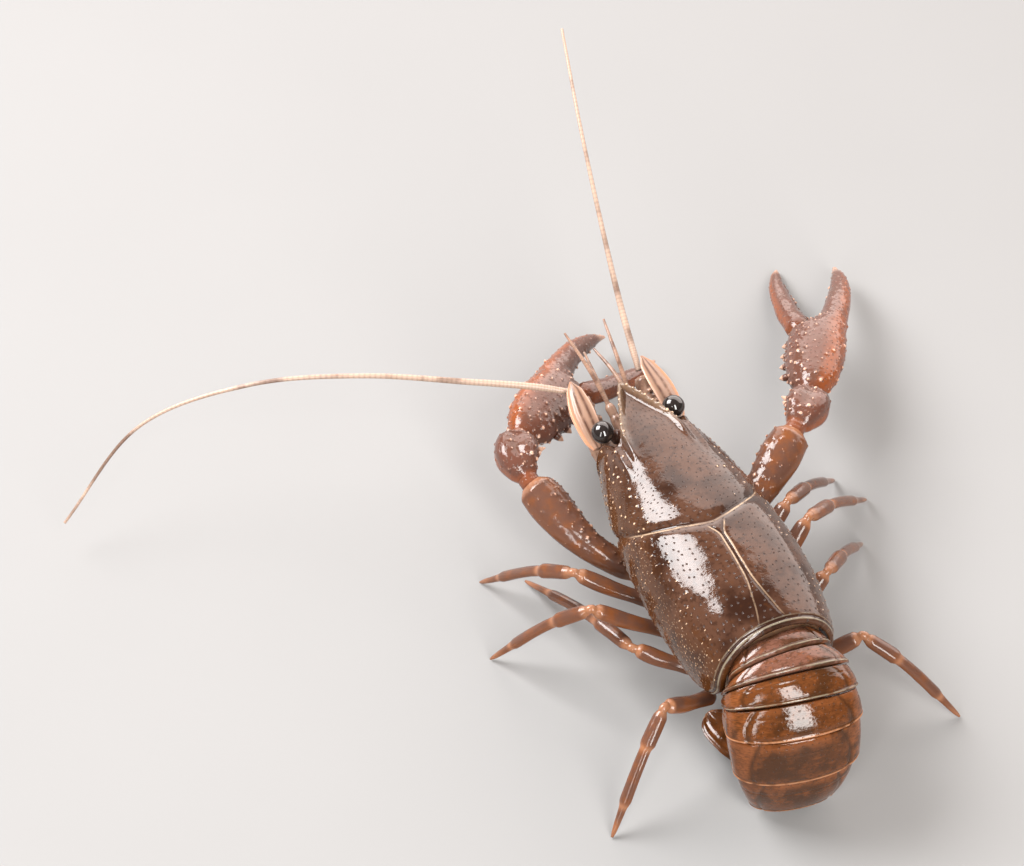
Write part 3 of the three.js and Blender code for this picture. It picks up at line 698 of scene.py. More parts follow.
def rostrum_edge_at(y):
    """Distance of the rostrum's edge ridge from the middle."""
    base = CARAPACE_LENGTH - ROSTRUM_LENGTH
    share = clamp01((CARAPACE_LENGTH - y) / ROSTRUM_LENGTH)
    return np.where(y > base, ROSTRUM_HALF_WIDTH * share ** (1 / 1.15),
                    ROSTRUM_HALF_WIDTH + (base - y) * 0.12)


def carapace_grid():
    """Grid of the carapace, finest at its edges and along the neck groove, with where each point lies."""
    rear_rows, front_rows = with_fine_ends(104), with_fine_ends(144)
    share = np.concatenate([rear_rows[:-1] * NECK_SHARE, mix(NECK_SHARE, 1, front_rows)])[:, None]
    column = mix(-1, 1, with_fine_ends(336))
    angle = (np.sign(column) * CARAPACE_ARC * (0.6 * np.abs(column) + 0.4 * column * column))[None]
    rear, neck, front = rear_edge_at(angle), neck_groove_at(angle), front_edge_at(angle)
    y = np.where(share < NECK_SHARE, mix(rear, neck, share / NECK_SHARE),
                 mix(neck, front, (share - NECK_SHARE) / (1 - NECK_SHARE)))
    angle = np.broadcast_to(angle, y.shape)
    points = section_point(y, angle, 0)
    x = np.abs(points[..., 0])
    behind = clamp01((BACK_LINES_MEET_Y - y) / BACK_LINES_MEET_Y)
    at = SimpleNamespace(
        points=points, angle=angle, x=x, y=y, degrees=np.degrees(np.abs(angle)),
        from_rear=y - rear, from_groove=y - neck,
        from_front=(front - y) * mix(0.4, 1, smooth(3.9, 4.7, x)),
        from_low=(CARAPACE_ARC - np.abs(angle)) * 11,
        from_seam=x - (0.4 + 1.2 * smooth(18.6, 22, y) + 2.3 * behind ** 1.6),
        from_ridge=x - rostrum_edge_at(y) + ROSTRUM_RIDGE_INSET)
    at.edge = np.minimum(np.minimum(at.from_rear, at.from_front), at.from_low)
    at.on_seam = smooth(1.2, 2.4, at.from_rear) * (1 - smooth(20.5, 21.8, y))
    at.on_ridge = hump(at.from_ridge, 0.55) * smooth(38, 44, y) * (at.degrees < 60)
    return at


def carapace_relief(at):
    """Height of the carapace's grooves, ridges, rims and uneven growth."""
    x, y, degrees = at.x, at.y, at.degrees
    relief = ridges(at.from_groove, (0, NECK_GROOVE_WIDTH, -NECK_GROOVE_DEPTH))
    relief += ridges(at.from_seam, (-0.1, 0.45, -0.08)) * at.on_seam
    # Rostrum: raised edges, hollow between them, and a short ridge behind each eye
    across = clamp01(x / np.maximum(rostrum_edge_at(y), 0.2))
    relief += 0.75 * at.on_ridge - 0.7 * smooth(42, 50, y) * (degrees < 60) * (1 - across ** 2)
    behind_eye = smooth(36, 40, y) * (1 - smooth(44.2, 45, y))
    relief += ridges(x - 0.06 * (44.5 - y), (6.6, 0.6, 0.4)) * behind_eye
    # Rims: two thin ones behind, one along each other edge
    relief += ridges(at.from_rear, (0.5, 0.14, 0.04), (0.85, 0.16, -0.08))
    relief -= 0.2 * (1 - smooth(0, 1.8, at.from_rear))
    relief += ridges(at.from_low, (0.7, 0.4, 0.16), (1.5, 0.5, -0.12))
    relief += ridges(at.from_front, (0.5, 0.35, 0.15)) * smooth(4.6, 5.4, x)
    relief += 0.10 * wobble(at.points, 5.5, 5) + 0.035 * wobble(at.points, 1.9, 6)
    return relief - (1 - np.sqrt(1 - clamp01(1 - at.edge / RIM_ROUNDING) ** 2)) * RIM_ROUNDING


def mark_carapace(skin, at):
    """Keeps where the carapace's colours and lines lie."""
    x, y, degrees, points = at.x, at.y, at.degrees, at.points
    skin.mark("from_rear", at.from_rear)
    skin.mark("from_groove", at.from_groove + 0.12 * wobble(points, 2.2, 3))
    skin.mark("from_seam", at.from_seam + 0.08 * wobble(points, 2.5, 4))
    skin.put("groove_seam", (1 - smooth(50, 80, degrees)) * mix(0.35, 1, smooth(1.5, 4, x)))
    skin.put("back_seam", at.on_seam * mix(0.35, 1, smooth(4, 12, y)))
    # Pale line on the rostrum's ridges: partly their own pale edge, partly painted highlight
    skin.put("ridge", at.on_ridge * smooth(42, 47, y))
    skin.put("flank", smooth(38, 88, degrees + 9 * wobble(points, 9, 8)))
    skin.put("low", smooth(92, 122, degrees + 8 * wobble(points, 6, 9)))
    skin.put("back", 1 - smooth(46, 70, degrees))


def grow_carapace_grains(skin, at, settings):
    """Grains that crowd down the flanks, a few before the neck groove, and the rostrum's beads."""
    on_flank = 0.9 * smooth(34, 72, at.degrees + 7 * wobble(at.points, 5, 15)) ** 2.4
    before_groove = (0.004 * (at.from_groove > 1) * (at.from_groove < 9)
                     * smooth(12, 20, at.degrees))
    clear = (at.edge > 0.8) * (np.abs(at.from_groove) > 0.6)
    centres = skin.scatter((on_flank + before_groove) * clear, settings.grain_spacing / MM, 11)
    skin.grains(centres, settings.grain_radius / MM, settings.grain_height / MM, "grain", 12)
    on_edge = (hump(at.from_ridge, 0.3) > 0.5) * (at.y > 45) * (at.y < 55.5)
    skin.grains(skin.scatter(on_edge * 1.0, 0.95, 13), 0.34, 0.2, "grain", 14)


def make_carapace(settings, material):
    at = carapace_grid()
    skin = Skin(at.points, False)
    skin.mark_place()
    skin.push(carapace_relief(at))
    mark_carapace(skin, at)
    grow_carapace_grains(skin, at, settings)
    coarse = np.s_[::INNER_STEP, ::INNER_STEP]
    inner = section_point(at.y[coarse], at.angle[coarse], SHELL_THICKNESS)
    build_piece("carapace", "shell", material, shell_part(skin, inner, INNER_STEP))


# Stations [y, size, lift]
BREAST_STATIONS = [
    [1.3, 0.96, 0], [8, 1, 0], [16, 1, 0], [24, 1, 0], [32, 1, 0.4], [40, 0.98, 1.4], [44.5, 0.94, 2.6],
    [46.3, 0.78, 4.4],
]
# Angle from the back, in degrees, at which the breast leaves the carapace
BREAST_SHOULDER = 118
BREAST_SECTION = 112


def make_breast(material):
    """Body under the carapace, with the narrow breast plate between the legs."""
    inset = SHELL_THICKNESS + RING_GAP + NECK_GROOVE_DEPTH
    shoulder = math.radians(BREAST_SHOULDER)
    columns = 120
    y = mix(BREAST_STATIONS[0][0], BREAST_STATIONS[-1][0], with_fine_ends(120))[:, None]
    size, lift = eased(BREAST_STATIONS, y, 1), eased(BREAST_STATIONS, y, 2)
    angle = ((np.arange(columns) + 0.5) / columns * 2 * math.pi - math.pi)[None]
    turn = np.abs(angle)
    sides = section_point(y, angle * BREAST_SECTION / BREAST_SHOULDER, inset)
    low = clamp01((turn - shoulder) / math.radians(180 - BREAST_SHOULDER))
    width = np.minimum(mix(half_width_at(y) * 0.66, 1.2, low), 6.6)
    under_z = BREAST_Z + mix(3.6, 0, np.sqrt(low)) + lift
    under = np.stack(np.broadcast_arrays(np.sign(angle) * width, y, under_z), -1)
    points = np.where((turn < shoulder)[..., None], sides, under)
    points[..., 0] *= size
    points[..., 2] = CARAPACE_WIDEST_Z + (points[..., 2] - CARAPACE_WIDEST_Z) * size
    skin = Skin(points)
    plates = np.sin((y - 1) / 7.0 * 2 * math.pi)
    skin.push(0.18 * plates * smooth(0.1, 0.5, low) - 0.05 + 0.05 * wobble(points, 3, 21))
    skin.put("fold", smooth(0.5, 1, -plates) * low)
    build_piece("breast", "belly", material, tube_part(skin))


# ---------------------------------------------------------------- abdomen

def abdomen_frame(place):
    """Point on the tail's back at a place counted in rings, with its three directions."""
    count = len(RING_LENGTHS)

    def direction(s):
        whole = min(int(s), count - 1)
        turn = math.radians(mix(RING_TURNS[whole], RING_TURNS[whole + 1], s - whole))
        sway = ABDOMEN_SWAY * float(smooth(0, 3, s))
        back = -math.cos(turn)
        return np.array([back * math.sin(sway), back * math.cos(sway), -math.sin(turn)]), sway

    at = ABDOMEN_START.copy()
    steps = 12
    for i in range(count):
        for k in range(steps):
            left = float(clamp01((place - i) * steps - k))
            at = at + direction(i + (k + 0.5) / steps)[0] * (RING_LENGTHS[i] / steps * left)
    along, sway = direction(place)
    across = np.array([math.cos(sway), -math.sin(sway), 0])
    return at, along, across, unit(np.cross(across, along))


def ring_profile(width, depth, flap, sink):
    """Half of a ring's cross-section, from the middle of the back to the middle of the belly."""
    arch = np.radians(np.linspace(0, 96, 40))
    over = np.stack([width * np.sin(arch) ** 0.9, 0.5 * depth * (1 - np.cos(arch)) + sink], -1)
    corner = [[0.985 * width, mix(0.55 * depth, flap, 0.5)], [0.93 * width, flap],
              [0.84 * width, flap - 0.5], [0.76 * width, 0.8 * depth], [0.4 * width, 0.78 * depth],
              [0, 0.78 * depth]]
    line = np.vstack([over, corner])
    along = np.concatenate([[0], np.cumsum(np.linalg.norm(np.diff(line, axis=0), axis=1))])
    t = np.linspace(0, along[-1], RING_HALF_COLUMNS)
    return np.stack([np.interp(t, along, line[:, 0]), np.interp(t, along, line[:, 1])], -1)


def ring_section(i, share):
    """Closed cross-section of a ring at a share of its length."""
    at, along, across, inward = abdomen_frame(i + share)
    width = mix(RING_HALF_WIDTHS[i], RING_HALF_WIDTHS[i + 1], share)
    depth = mix(RING_DEPTHS[i], RING_DEPTHS[i + 1], share)
    lobe = math.sin(math.pi * float(clamp01(share * 0.9 + 0.05))) * (0 if i == 0 else FLAP_LOBE)
    step = RING_STEP * (1 - share ** 0.7)
    half = ring_profile(width - step, depth, 0.86 * depth + lobe, step)
    whole = np.vstack([half, half[-2:0:-1] * [-1, 1]])
    return at + along * (RING_GAP * (1 - share)) + whole[:, :1] * across + whole[:, 1:] * inward


def make_tail_ring(i, material):
    """One ring: its edges turned in, a rim behind, and a seam above each side flap."""
    shares = with_fine_ends(40 if i < MAUVE_RINGS else 64)
    points = np.stack([ring_section(i, share) for share in shares])
    skin = Skin(points)
    skin.mark_place()
    share = np.broadcast_to(shares[:, None], points.shape[:2])
    column = np.arange(points.shape[1])
    around = np.minimum(column, points.shape[1] - column) / (RING_HALF_COLUMNS - 1)
    around = np.broadcast_to(around[None], points.shape[:2])
    back = 1 - smooth(0.50, 0.62, around)
    from_front = share * RING_LENGTHS[i]
    to_rear = RING_LENGTHS[i] * (1 - share)
    suture = SUTURE_AT + 0.06 * share
    relief = 0.10 * np.sin(math.pi * share) * back
    relief += ridges(to_rear, (0.3, 0.22, 0.045)) * (1 - smooth(0.62, 0.7, around))
    relief += ridges(to_rear, (0.75, 0.25, -0.07)) * back
    relief += ridges(around - suture, (0, SUTURE_WIDTH, -0.16)) * smooth(0, 0.15, share)
    relief += ridges(from_front, (0.3 * RING_LENGTHS[i], 0.25, -0.04)) * back * (i >= MAUVE_RINGS)
    relief += ridges(from_front, (0, 0.12, -0.25)) + ridges(to_rear, (0, 0.1, -0.2))
    skin.push(relief + 0.045 * wobble(points, 4.2, 30 + i))

    skin.mark("to_rear", to_rear + 0.05 * wobble(points, 2, 40))
    skin.mark("from_front", from_front)
    skin.put("has_rim", 1 - smooth(0.56, 0.66, around))
    # Marks the first rings for their mauve, which is partly painted sheen
    skin.put("front", float(i < MAUVE_RINGS))
    skin.put("grey", float(i < GREY_RIMMED_RINGS))
    skin.put("side", smooth(-0.012, 0.03, around - suture) * (1 - smooth(0.60, 0.68, around)))
    skin.put("seam", hump(around - suture, SUTURE_WIDTH))
    skin.put("under", smooth(0.62, 0.70, around))
    if i == DOME_RING:
        inside = smooth(0.1, 0.3, share) * (1 - smooth(0.7, 0.92, share))
        skin.put("middle", hump(around - 0.1, 0.14) * inside)
    build_piece(f"tail_ring_{i + 1}", "tail_shell", material, tube_part(skin))


# Bends of a swimming leg: out from the middle, down from the belly and back
SWIM_LEG_BENDS = [(3.6, 0.5, 0), (4.4, 2.4, 0.2), (4.2, 4.4, 0.5)]
SWIM_LEG_SIZES = [[0, 0.5, 0.4], [0.2, 0.8, 0.5], [0.65, 1.4, 0.45], [1, 0.5, 0.25]]


def make_swim_legs(material):
    """Leaf-shaped swimming legs hanging from the belly of the tail."""
    for ring in (2, 4):
        at, along, across, inward = abdomen_frame(ring - 0.5)
        depth = 0.79 * mix(RING_DEPTHS[ring - 1], RING_DEPTHS[ring], 0.5)
        for name, side in SIDES.items():
            line = [at + across * side * out + inward * (depth + down) - along * back
                    for out, down, back in SWIM_LEG_BENDS]
            skin = limb(line, SWIM_LEG_SIZES, 28, 36, along)
            veins = hump(np.abs(np.cos(skin.turn)) - 0.2, 0.2)
            skin.push(0.07 * veins * np.sin(math.pi * skin.t))
            build_piece(f"swim_leg_{name}_{ring}", "limb", material, tube_part(skin))


def rounded_end(t):
    """Width of a fan blade at shares t of its length."""
    end = clamp01((t - 0.62) / 0.38)
    return mix(0.72, 1, smooth(0, 0.5, t)) * np.sqrt(np.maximum(0.06, 1 - end ** 2.6))


# A fan blade's cross-section: corners as shares of its half width and thickness
BLADE_CORNERS = np.array([[-0.86, 0], [0, 0], [0.86, 0], [1, 0.4], [0.8, 0.85], [0.35, 1], [-0.35, 1],
                          [-0.8, 0.85], [-1, 0.4], [-0.86, 0]])


def fan_blade(blade_length, half_width, bottom, spread, base):
    """One blade of the tail fan: a thin plate with ribs, folded flat under the body."""
    end = abdomen_frame(len(RING_LENGTHS))[0]

    def turned(angle):
        return (np.array([-math.sin(angle), math.cos(angle), 0]),
                np.array([math.cos(angle), math.sin(angle), 0]))

    root_forward, root_across = turned(-ABDOMEN_SWAY)
    forward, across = turned(-ABDOMEN_SWAY + spread)
    start = np.array([end[0], end[1], 0]) + root_forward * base[1] + root_across * base[0]
    t = with_fine_ends(60)
    corners = np.arange(len(BLADE_CORNERS))
    around = np.linspace(0, corners[-1], 73)[:-1]
    x, z = (np.interp(around, corners, BLADE_CORNERS[:, k]) for k in (0, 1))
    width = half_width * rounded_end(t)[:, None] * x
    thick = BLADE_THICKNESS * mix(1, 0.65, t)[:, None] * z
    points = (start + forward * (blade_length * t)[:, None, None] + width[..., None] * across
              + thick[..., None] * UP + UP * bottom)
    skin = Skin(points)
    over = np.broadcast_to(z > 0.5, width.shape)
    ribs = np.cos(np.broadcast_to(x, width.shape) * 4.5 * math.pi)
    skin.push(over * (0.10 * ribs * smooth(0.15, 0.5, t)[:, None] - 0.12))
    skin.mark_place()
    skin.mark("to_rear", blade_length * (1 - t)[:, None])
    skin.mark("from_front", blade_length)
    skin.put("has_rim", 1.0)
    skin.put("middle", over * smooth(0.2, 0.9, ribs) * 0.8)
    skin.put("side", 0.45)
    return skin


def make_tail_fan(material):
    """Telson, with an inner and an outer blade on each side stacked over it."""
    level = BLADE_THICKNESS + RING_GAP
    blades = {"telson": (TELSON_LENGTH, TELSON_HALF_WIDTH, 0, 0, (0, 1))}
    for name, side in SIDES.items():
        for layer, part, spread, out, forward in ((1, "inner", 13, 2.9, 4.8), (2, "outer", 25, 3.8, 7.8)):
            blades[f"fan_{part}_{name}"] = (
                FAN_BLADE_LENGTH, FAN_BLADE_HALF_WIDTH, layer * level, -side * math.radians(spread),
                (side * out, forward))
    for node, sizes in blades.items():
        build_piece(node, "tail_shell", material, tube_part(fan_blade(*sizes)))


# ---------------------------------------------------------------- head

def on_side(side, *points):
    """Line of points on one side of the body, given for the right side."""
    return [on_body(side * x, y, z) for x, y, z in points]


STALK_SIZES = [[0, 0.7, 0.7], [0.2, 1.2, 1.1], [0.8, 1.35, 1.25], [1, 1.1, 1]]


def make_eyes(eye_material, stalk_material):
    """A ball on a short stalk at each side of the rostrum."""
    for name, side in SIDES.items():
        at = EYE_AT * [side, 1, 1]
        toward = unit(at - on_body(side * 2.6, 48.0, 16.2))
        poles = np.linspace(0.02, math.pi - 0.02, 40)[:, None]
        around = (np.arange(48) / 48 * 2 * math.pi)[None]
        sideways = unit(np.cross(toward, UP))
        over = np.cross(sideways, toward)
        ball = (at + EYE_RADIUS * (np.cos(poles)[..., None] * toward
                + (np.sin(poles) * np.cos(around))[..., None] * sideways
                + (np.sin(poles) * np.sin(around))[..., None] * over))
        build_piece(f"eye_{name}", "eye", eye_material, tube_part(Skin(ball)))

        line = [*on_side(side, (1.7, 48.2, 15.6), (3.2, 48.3, 16.4)), at - toward * (EYE_RADIUS + 0.32)]
        skin = limb(line, STALK_SIZES, 36, 30)
        skin.push(0.05 * wobble(skin.points, 1.2, 51) + ridges(skin.t, (0.55, 0.06, -0.12)))
        build_piece(f"eye_stalk_{name}", "feeler", stalk_material, tube_part(skin))


BASE_SIZES = [[0, 1.6, 1.6], [0.08, 2.5, 2.4], [0.42, 2.3, 2.2], [0.5, 1.75, 1.7], [0.7, 1.85, 1.8],
              [0.76, 1.35, 1.3], [0.94, 1.4, 1.3], [1, 0.9, 0.9]]
SCALE_SIZES = [[0, 1.1, 0.5], [0.15, 1.8, 0.55], [0.5, 2.05, 0.5], [0.85, 1.35, 0.4], [0.95, 0.5, 0.3],
               [1, 0.15, 0.15]]
STEM_SIZES = [[0, 0.9, 0.9], [0.1, 1.25, 1.2], [0.34, 1.1, 1.05], [0.38, 0.9, 0.9], [0.5, 1.05, 1],
              [0.68, 0.95, 0.95], [0.72, 0.8, 0.8], [0.9, 0.85, 0.85], [1, 0.5, 0.5]]
SHORT_WHIP_SIZES = [[0, 0.42, 0.42], [0.5, 0.36, 0.36], [1, 0.2, 0.2]]
LONG_WHIP_SIZES = [[0, 0.5, 0.5], [0.06, 0.58, 0.58], [0.4, 0.42, 0.42], [1, 0.24, 0.24]]
MOUTH_LEG_SIZES = [[0, 1.4, 1.2], [0.1, 1.9, 1.5], [0.46, 1.85, 1.5], [0.5, 1.35, 1.2], [0.56, 1.7, 1.4],
                   [0.76, 1.35, 1.2], [0.8, 1.0, 0.95], [0.86, 1.15, 1.0], [1, 0.5, 0.5]]


def whip(line, sizes, steps):
    """Thin feeler of many short segments."""
    skin = limb(line, sizes, 12, steps)
    segment = np.arange(steps + 1) % 3 == 0
    skin.push(-0.015 * np.broadcast_to(segment[:, None], skin.t.shape) * (1 - 0.5 * skin.t))
    skin.put("joint", segment[:, None] * 0.5)
    return tube_part(skin)


def antenna_base(side):
    """Stout jointed root of a long whip, with a few small spines on top."""
    line = on_side(side, (4.6, 47.1, 11), (5.2, 51, 11.6), (5.5, 59.4, 15.6))
    skin = limb(line, BASE_SIZES, 48, 96, joints=((0.49, 0.03), (0.745, 0.03)))
    skin.push(0.07 * wobble(skin.points, 1.6, 52)
              + ridges(skin.t, (0.49, 0.018, -0.18), (0.745, 0.016, -0.15)))
    spines = skin.scatter(skin.values["top"] * 0.9, 1.5, 53)
    skin.grains(spines, 0.4, 0.25, "grain", 54)
    return tube_part(skin)


def antenna_scale(side):
    """Flat striped blade beside the antenna, with a thick outer edge and a rib."""
    line = on_side(side, (7.35, 48.8, 15.5), (7.3, 54.6, 17), (6.5, 61.6, 18.1))
    skin = limb(line, SCALE_SIZES, 56, 84, np.array([side * 0.25, 0, 1]))
    across = np.cos(skin.turn) * side
    on_rib = smooth(0.05, 0.2, skin.t) * (1 - smooth(0.6, 0.85, skin.t))
    skin.push(ridges(across, (0.86, 0.12, 0.16)) * np.sin(math.pi * skin.t) ** 0.3
              + ridges(across, (0.28, 0.10, 0.12)) * on_rib + ridges(across, (0.55, 0.16, -0.08)))
    for name, at, width in (("edge", -1, 0.10), ("edge", 1, 0.09), ("stripe", 0.12, 0.13),
                            ("stripe", -0.5, 0.14)):
        skin.put(name, hump(across - at, width))
    skin.put("outer", smooth(0.62, 0.82, across))
    return tube_part(skin)


def short_feeler(side):
    """Jointed stem with two short whips."""
    stem = on_side(side, (1.6, 48.2, 13.4), (1.8, 52, 14.2), (2, 56.5, 15.6))
    upper = on_side(side, (2, 55.8, 15.5), (2.6, 62, 18.2), (3.6, 70, 20))
    lower = on_side(side, (2, 55.8, 15.3), (1.6, 62, 16.2), (0.9, 68, 15.8))
    skin = limb(stem, STEM_SIZES, 32, 60, joints=((0.38, 0.03), (0.72, 0.03)))
    return tube_part(skin), *(whip(line, SHORT_WHIP_SIZES, 120) for line in (upper, lower))


def make_feelers(base_material, scale_material):
    for name, side in SIDES.items():
        build_piece(f"antenna_base_{name}", "feeler", base_material, antenna_base(side))
        build_piece(f"antenna_scale_{name}", "feeler", scale_material, antenna_scale(side))
        build_piece(f"feeler_{name}", "feeler", base_material, *short_feeler(side))


def make_whips(material):
    """Long whips: the left one sweeps aside and down, the right one forward and up."""
    left = on_side(-1, (5.7, 60.3, 16.1), (12, 63.5, 17.5), (22, 68, 19), (38, 76, 20), (55, 84, 17.5),
                   (73, 90, 9), (89, 86, -4))
    right = on_side(1, (5.6, 60.4, 16.1), (7.2, 70, 19.5), (10, 84, 25.5), (13.8, 101, 33), (18, 117, 39))
    build_piece("antenna_left", "feeler", material, whip(left, LONG_WHIP_SIZES, 420))
    build_piece("antenna_right", "feeler", material, whip(right, LONG_WHIP_SIZES, 300))


def make_mouth_legs(material):
    for name, side in SIDES.items():
        line = on_side(side, (3.4, 36.5, -0.4), (3.6, 43, -0.6), (3, 49.5, 2.4), (2.4, 52.6, 7))
        skin = limb(line, MOUTH_LEG_SIZES, 40, 90, joints=((0.5, 0.03), (0.8, 0.025)))
        skin.push(0.06 * wobble(skin.points, 1.8, 61))
        build_piece(f"mouth_leg_{name}", "limb", material, tube_part(skin))


# ---------------------------------------------------------------- claws

# Stations [share, half width, half thickness, shift inward], as shares of the palm's half sizes
HAND_STATIONS = [
    [0, 0.245, 0.35, 0], [0.04, 0.49, 0.62, 0], [0.12, 0.81, 0.865, 0], [0.28, 1, 1, 0],
    [0.42, 0.96, 0.945, 0], [0.47, 0.66, 0.785, 0.32], [0.53, 0.49, 0.65, 0.47],
    [0.72, 0.395, 0.515, 0.545], [0.9, 0.245, 0.325, 0.395], [1, 0.065, 0.095, 0.17],
]
FINGER_STATIONS = [
    [0, 0.245, 0.35, 0], [0.08, 0.415, 0.515, 0], [0.35, 0.375, 0.485, -0.095],
    [0.7, 0.285, 0.38, -0.075], [0.92, 0.17, 0.245, 0.075], [1, 0.055, 0.08, 0.17],
]
# Shares of its radius that a spike keeps on the way to its tip
SPIKE_TAPER = [[0, 1], [0.5, 0.75], [0.85, 0.35], [1, 0.12]]
HAND_ROLL = math.radians(20)


def claw_sizes(stations, side):
    """Stations of a hand or finger in millimetres."""
    return [[t, width * PALM_HALF_WIDTH, thickness * PALM_HALF_THICKNESS, shift * PALM_HALF_WIDTH * side]
            for t, width, thickness, shift in stations]


def spike_part(at, toward, radius, height):
    """Blunt pale spike standing on a limb."""
    up = np.array([1.0, 0, 0]) if abs(toward[2]) > 0.8 else UP
    line = [at - toward * height * 0.6, at + toward * height * 0.3, at + toward * height]
    skin = limb(line, [[t, radius * share, radius * share] for t, share in SPIKE_TAPER], 14, 12, up)
    skin.put("grain", smooth(0.25, 0.7, skin.t))
    return tube_part(skin)


def joint_skin(start, middle, end, radius):
    """Soft skin that joins two stiff pieces of a limb."""
    sizes = [[t, share * radius, share * radius] for t, share in ((0, 0.3), (0.2, 1), (0.8, 1), (1, 0.3))]
    skin = limb([start, middle, end], sizes, 24, 24)
    wrinkle = (np.arange(25) % 4 == 0)[:, None]
    skin.push(-0.05 * wrinkle * np.ones(24))
    skin.put("joint", 1.0)
    return tube_part(skin)


def turned_about(vector, axis, angle):
    """Vector turned about a unit axis."""
    return (vector * math.cos(angle) + np.cross(axis, vector) * math.sin(angle)
            + axis * np.dot(axis, vector) * (1 - math.cos(angle)))


class Hand:
    """Directions and places of a claw's hand, from its wrist to the tip of its fixed finger."""

    def __init__(self, side, wrist, tip):
        self.side = side
        self.wrist = wrist
        self.tip = tip
        self.along = unit(tip - wrist)
        self.up = turned_about(UP, self.along, -side * HAND_ROLL)
        outer = unit(np.cross(self.along, self.up))
        self.over = np.cross(outer, self.along)
        self.inner = -side * outer

    def place(self, t, inward):
        """Place at a share of the hand's length, moved inward by a share of the palm's half width."""
        return (mix(self.wrist, self.tip, t) + self.over * HAND_BOW * math.sin(math.pi * t)
                + self.inner * inward * PALM_HALF_WIDTH)

    def make_palm(self, node, material):
        """Palm and fixed finger, with spikes along the inner edge and teeth on the finger."""
        side, seed = self.side, 71 + self.side
        skin = limb([self.wrist, self.place(0.5, 0), self.tip], claw_sizes(HAND_STATIONS, side), 96, 170,
                    self.up)
        inward, over = skin.normals() @ self.inner, skin.normals() @ self.over
        skin.push(0.09 * wobble(skin.points, 4, seed) + 0.03 * wobble(skin.points, 1.3, seed + 2))
        skin.put("outside", smooth(0.25, 0.75, -inward))
        skin.put("joint", 1 - smooth(0.0, 0.05, skin.t))
        skin.put("tip", smooth(0.9, 0.99, skin.t))
        palm = skin.t < 0.5
        inner_part = smooth(-0.1, 0.7, inward)
        many = skin.scatter((0.02 + 0.9 * inner_part) * palm * (skin.t > 0.04), 1.3, seed + 4)
        skin.grains(many, 0.42, 0.32, "grain", seed + 6)
        few = skin.scatter(0.5 * (1 - inner_part) * palm * (skin.t > 0.05), 1.25, seed + 7)
        skin.grains(few, 0.30, 0.13, "low_grain", seed + 11)
        rows = skin.scatter(0.9 * ~palm * (over > 0.1), 1.15, seed + 8)
        skin.grains(rows, 0.28, 0.10, "low_grain", seed + 10, 0.2)
        spikes = [spike_part(self.place(t, 0.85 + 0.17 * math.sin(math.pi * t * 1.6)), self.inner,
                             0.75, 0.9) for t in (0.16 + i * 0.075 for i in range(4))]
        teeth = [spike_part(self.place(0.56 + i * 0.085, -0.17 - i * 0.019), self.inner, 0.6, 0.7)
                 for i in range(4)]
        build_piece(node, "claw", material, tube_part(skin), *spikes, *teeth)

    def make_finger(self, node, opening, material):
        """Moving finger, opened by an angle, with teeth along its inner edge."""
        side, seed = self.side, 83 + self.side
        hinge = self.place(0.475, 0.62)
        aim = turned_about(self.along, self.over, side * opening)
        line = [hinge + aim * MOVING_FINGER_LENGTH * t for t in (0, 0.5, 1)]
        skin = limb(line, claw_sizes(FINGER_STATIONS, side), 64, 110, self.up)
        inward, over = skin.normals() @ self.inner, skin.normals() @ self.over
        skin.push(0.05 * wobble(skin.points, 2.6, seed))
        skin.put("outside", smooth(0.2, 0.8, inward))
        skin.put("joint", 1 - smooth(0.0, 0.08, skin.t))
        skin.put("tip", smooth(0.88, 0.98, skin.t))
        rows = skin.scatter(0.9 * (skin.t < 0.85) * (over > 0.15), 1.2, seed + 2)
        skin.grains(rows, 0.28, 0.10, "low_grain", seed + 4, 0.2)
        teeth = skin.scatter(0.95 * (skin.t < 0.8) * (inward < -0.9), 1.5, seed + 6)
        skin.grains(teeth, 0.5, 0.34, "grain", seed + 8, 0.25)
        build_piece(node, "claw", material, tube_part(skin))


ARM_SIZES = [[0, 1.5, 1.5], [0.1, 2.2, 2], [0.35, 2.5, 2.4], [0.8, 3.6, 3.1], [0.94, 3.3, 2.8], [1, 2, 1.9]]
WRIST_SIZES = [[0, 1.7, 1.6], [0.2, 2.7, 2.5], [0.65, 3.9, 3.4], [0.88, 3.6, 3.2], [1, 2.4, 2.2]]
CLAWS = {
    "left": {
        "arm": [on_body(-8.2, 32.5, 1.2), on_body(-14.2, 39.6, 4.6), on_body(-18.4, 51.5, 8.6)],
        "wrist": [on_body(-18.6, 52.6, 9), on_body(-18.5, 56.8, 9.6), on_body(-16.8, 60.6, 8.8)],
        "hand": [on_body(-16.1, 61.5, 8.3), np.array([12, 85, 3.5])],
        "opening": math.radians(16),
    },
    "right": {
        "arm": [on_body(8.2, 32.5, 1.2), on_body(16.4, 36.6, 4.4), on_body(26.6, 43.8, 7.4)],
        "wrist": [on_body(27.4, 44.6, 7.4), on_body(30.6, 47.2, 7.1), on_body(33.3, 50.1, 5.4)],
        "hand": [on_body(33.8, 50.9, 5), np.array([55, 83.4, 2.8])],
        "opening": math.radians(18),
    },
}


def claw_segment(line, sizes, side):
    """Skin of a claw's arm or wrist, with pale joints at its ends."""
    skin = limb(line, sizes, 72, 96)
    skin.push(0.08 * wobble(skin.points, 3, 101 + side) + 0.025 * wobble(skin.points, 1.2, 103))
    skin.put("joint", 1 - smooth(0.02, 0.09, skin.t))
    skin.put("joint", smooth(0.93, 0.99, skin.t))
    skin.put("outside", 1 - smooth(-0.1, 0.5, skin.normals()[..., 2]))
    return skin


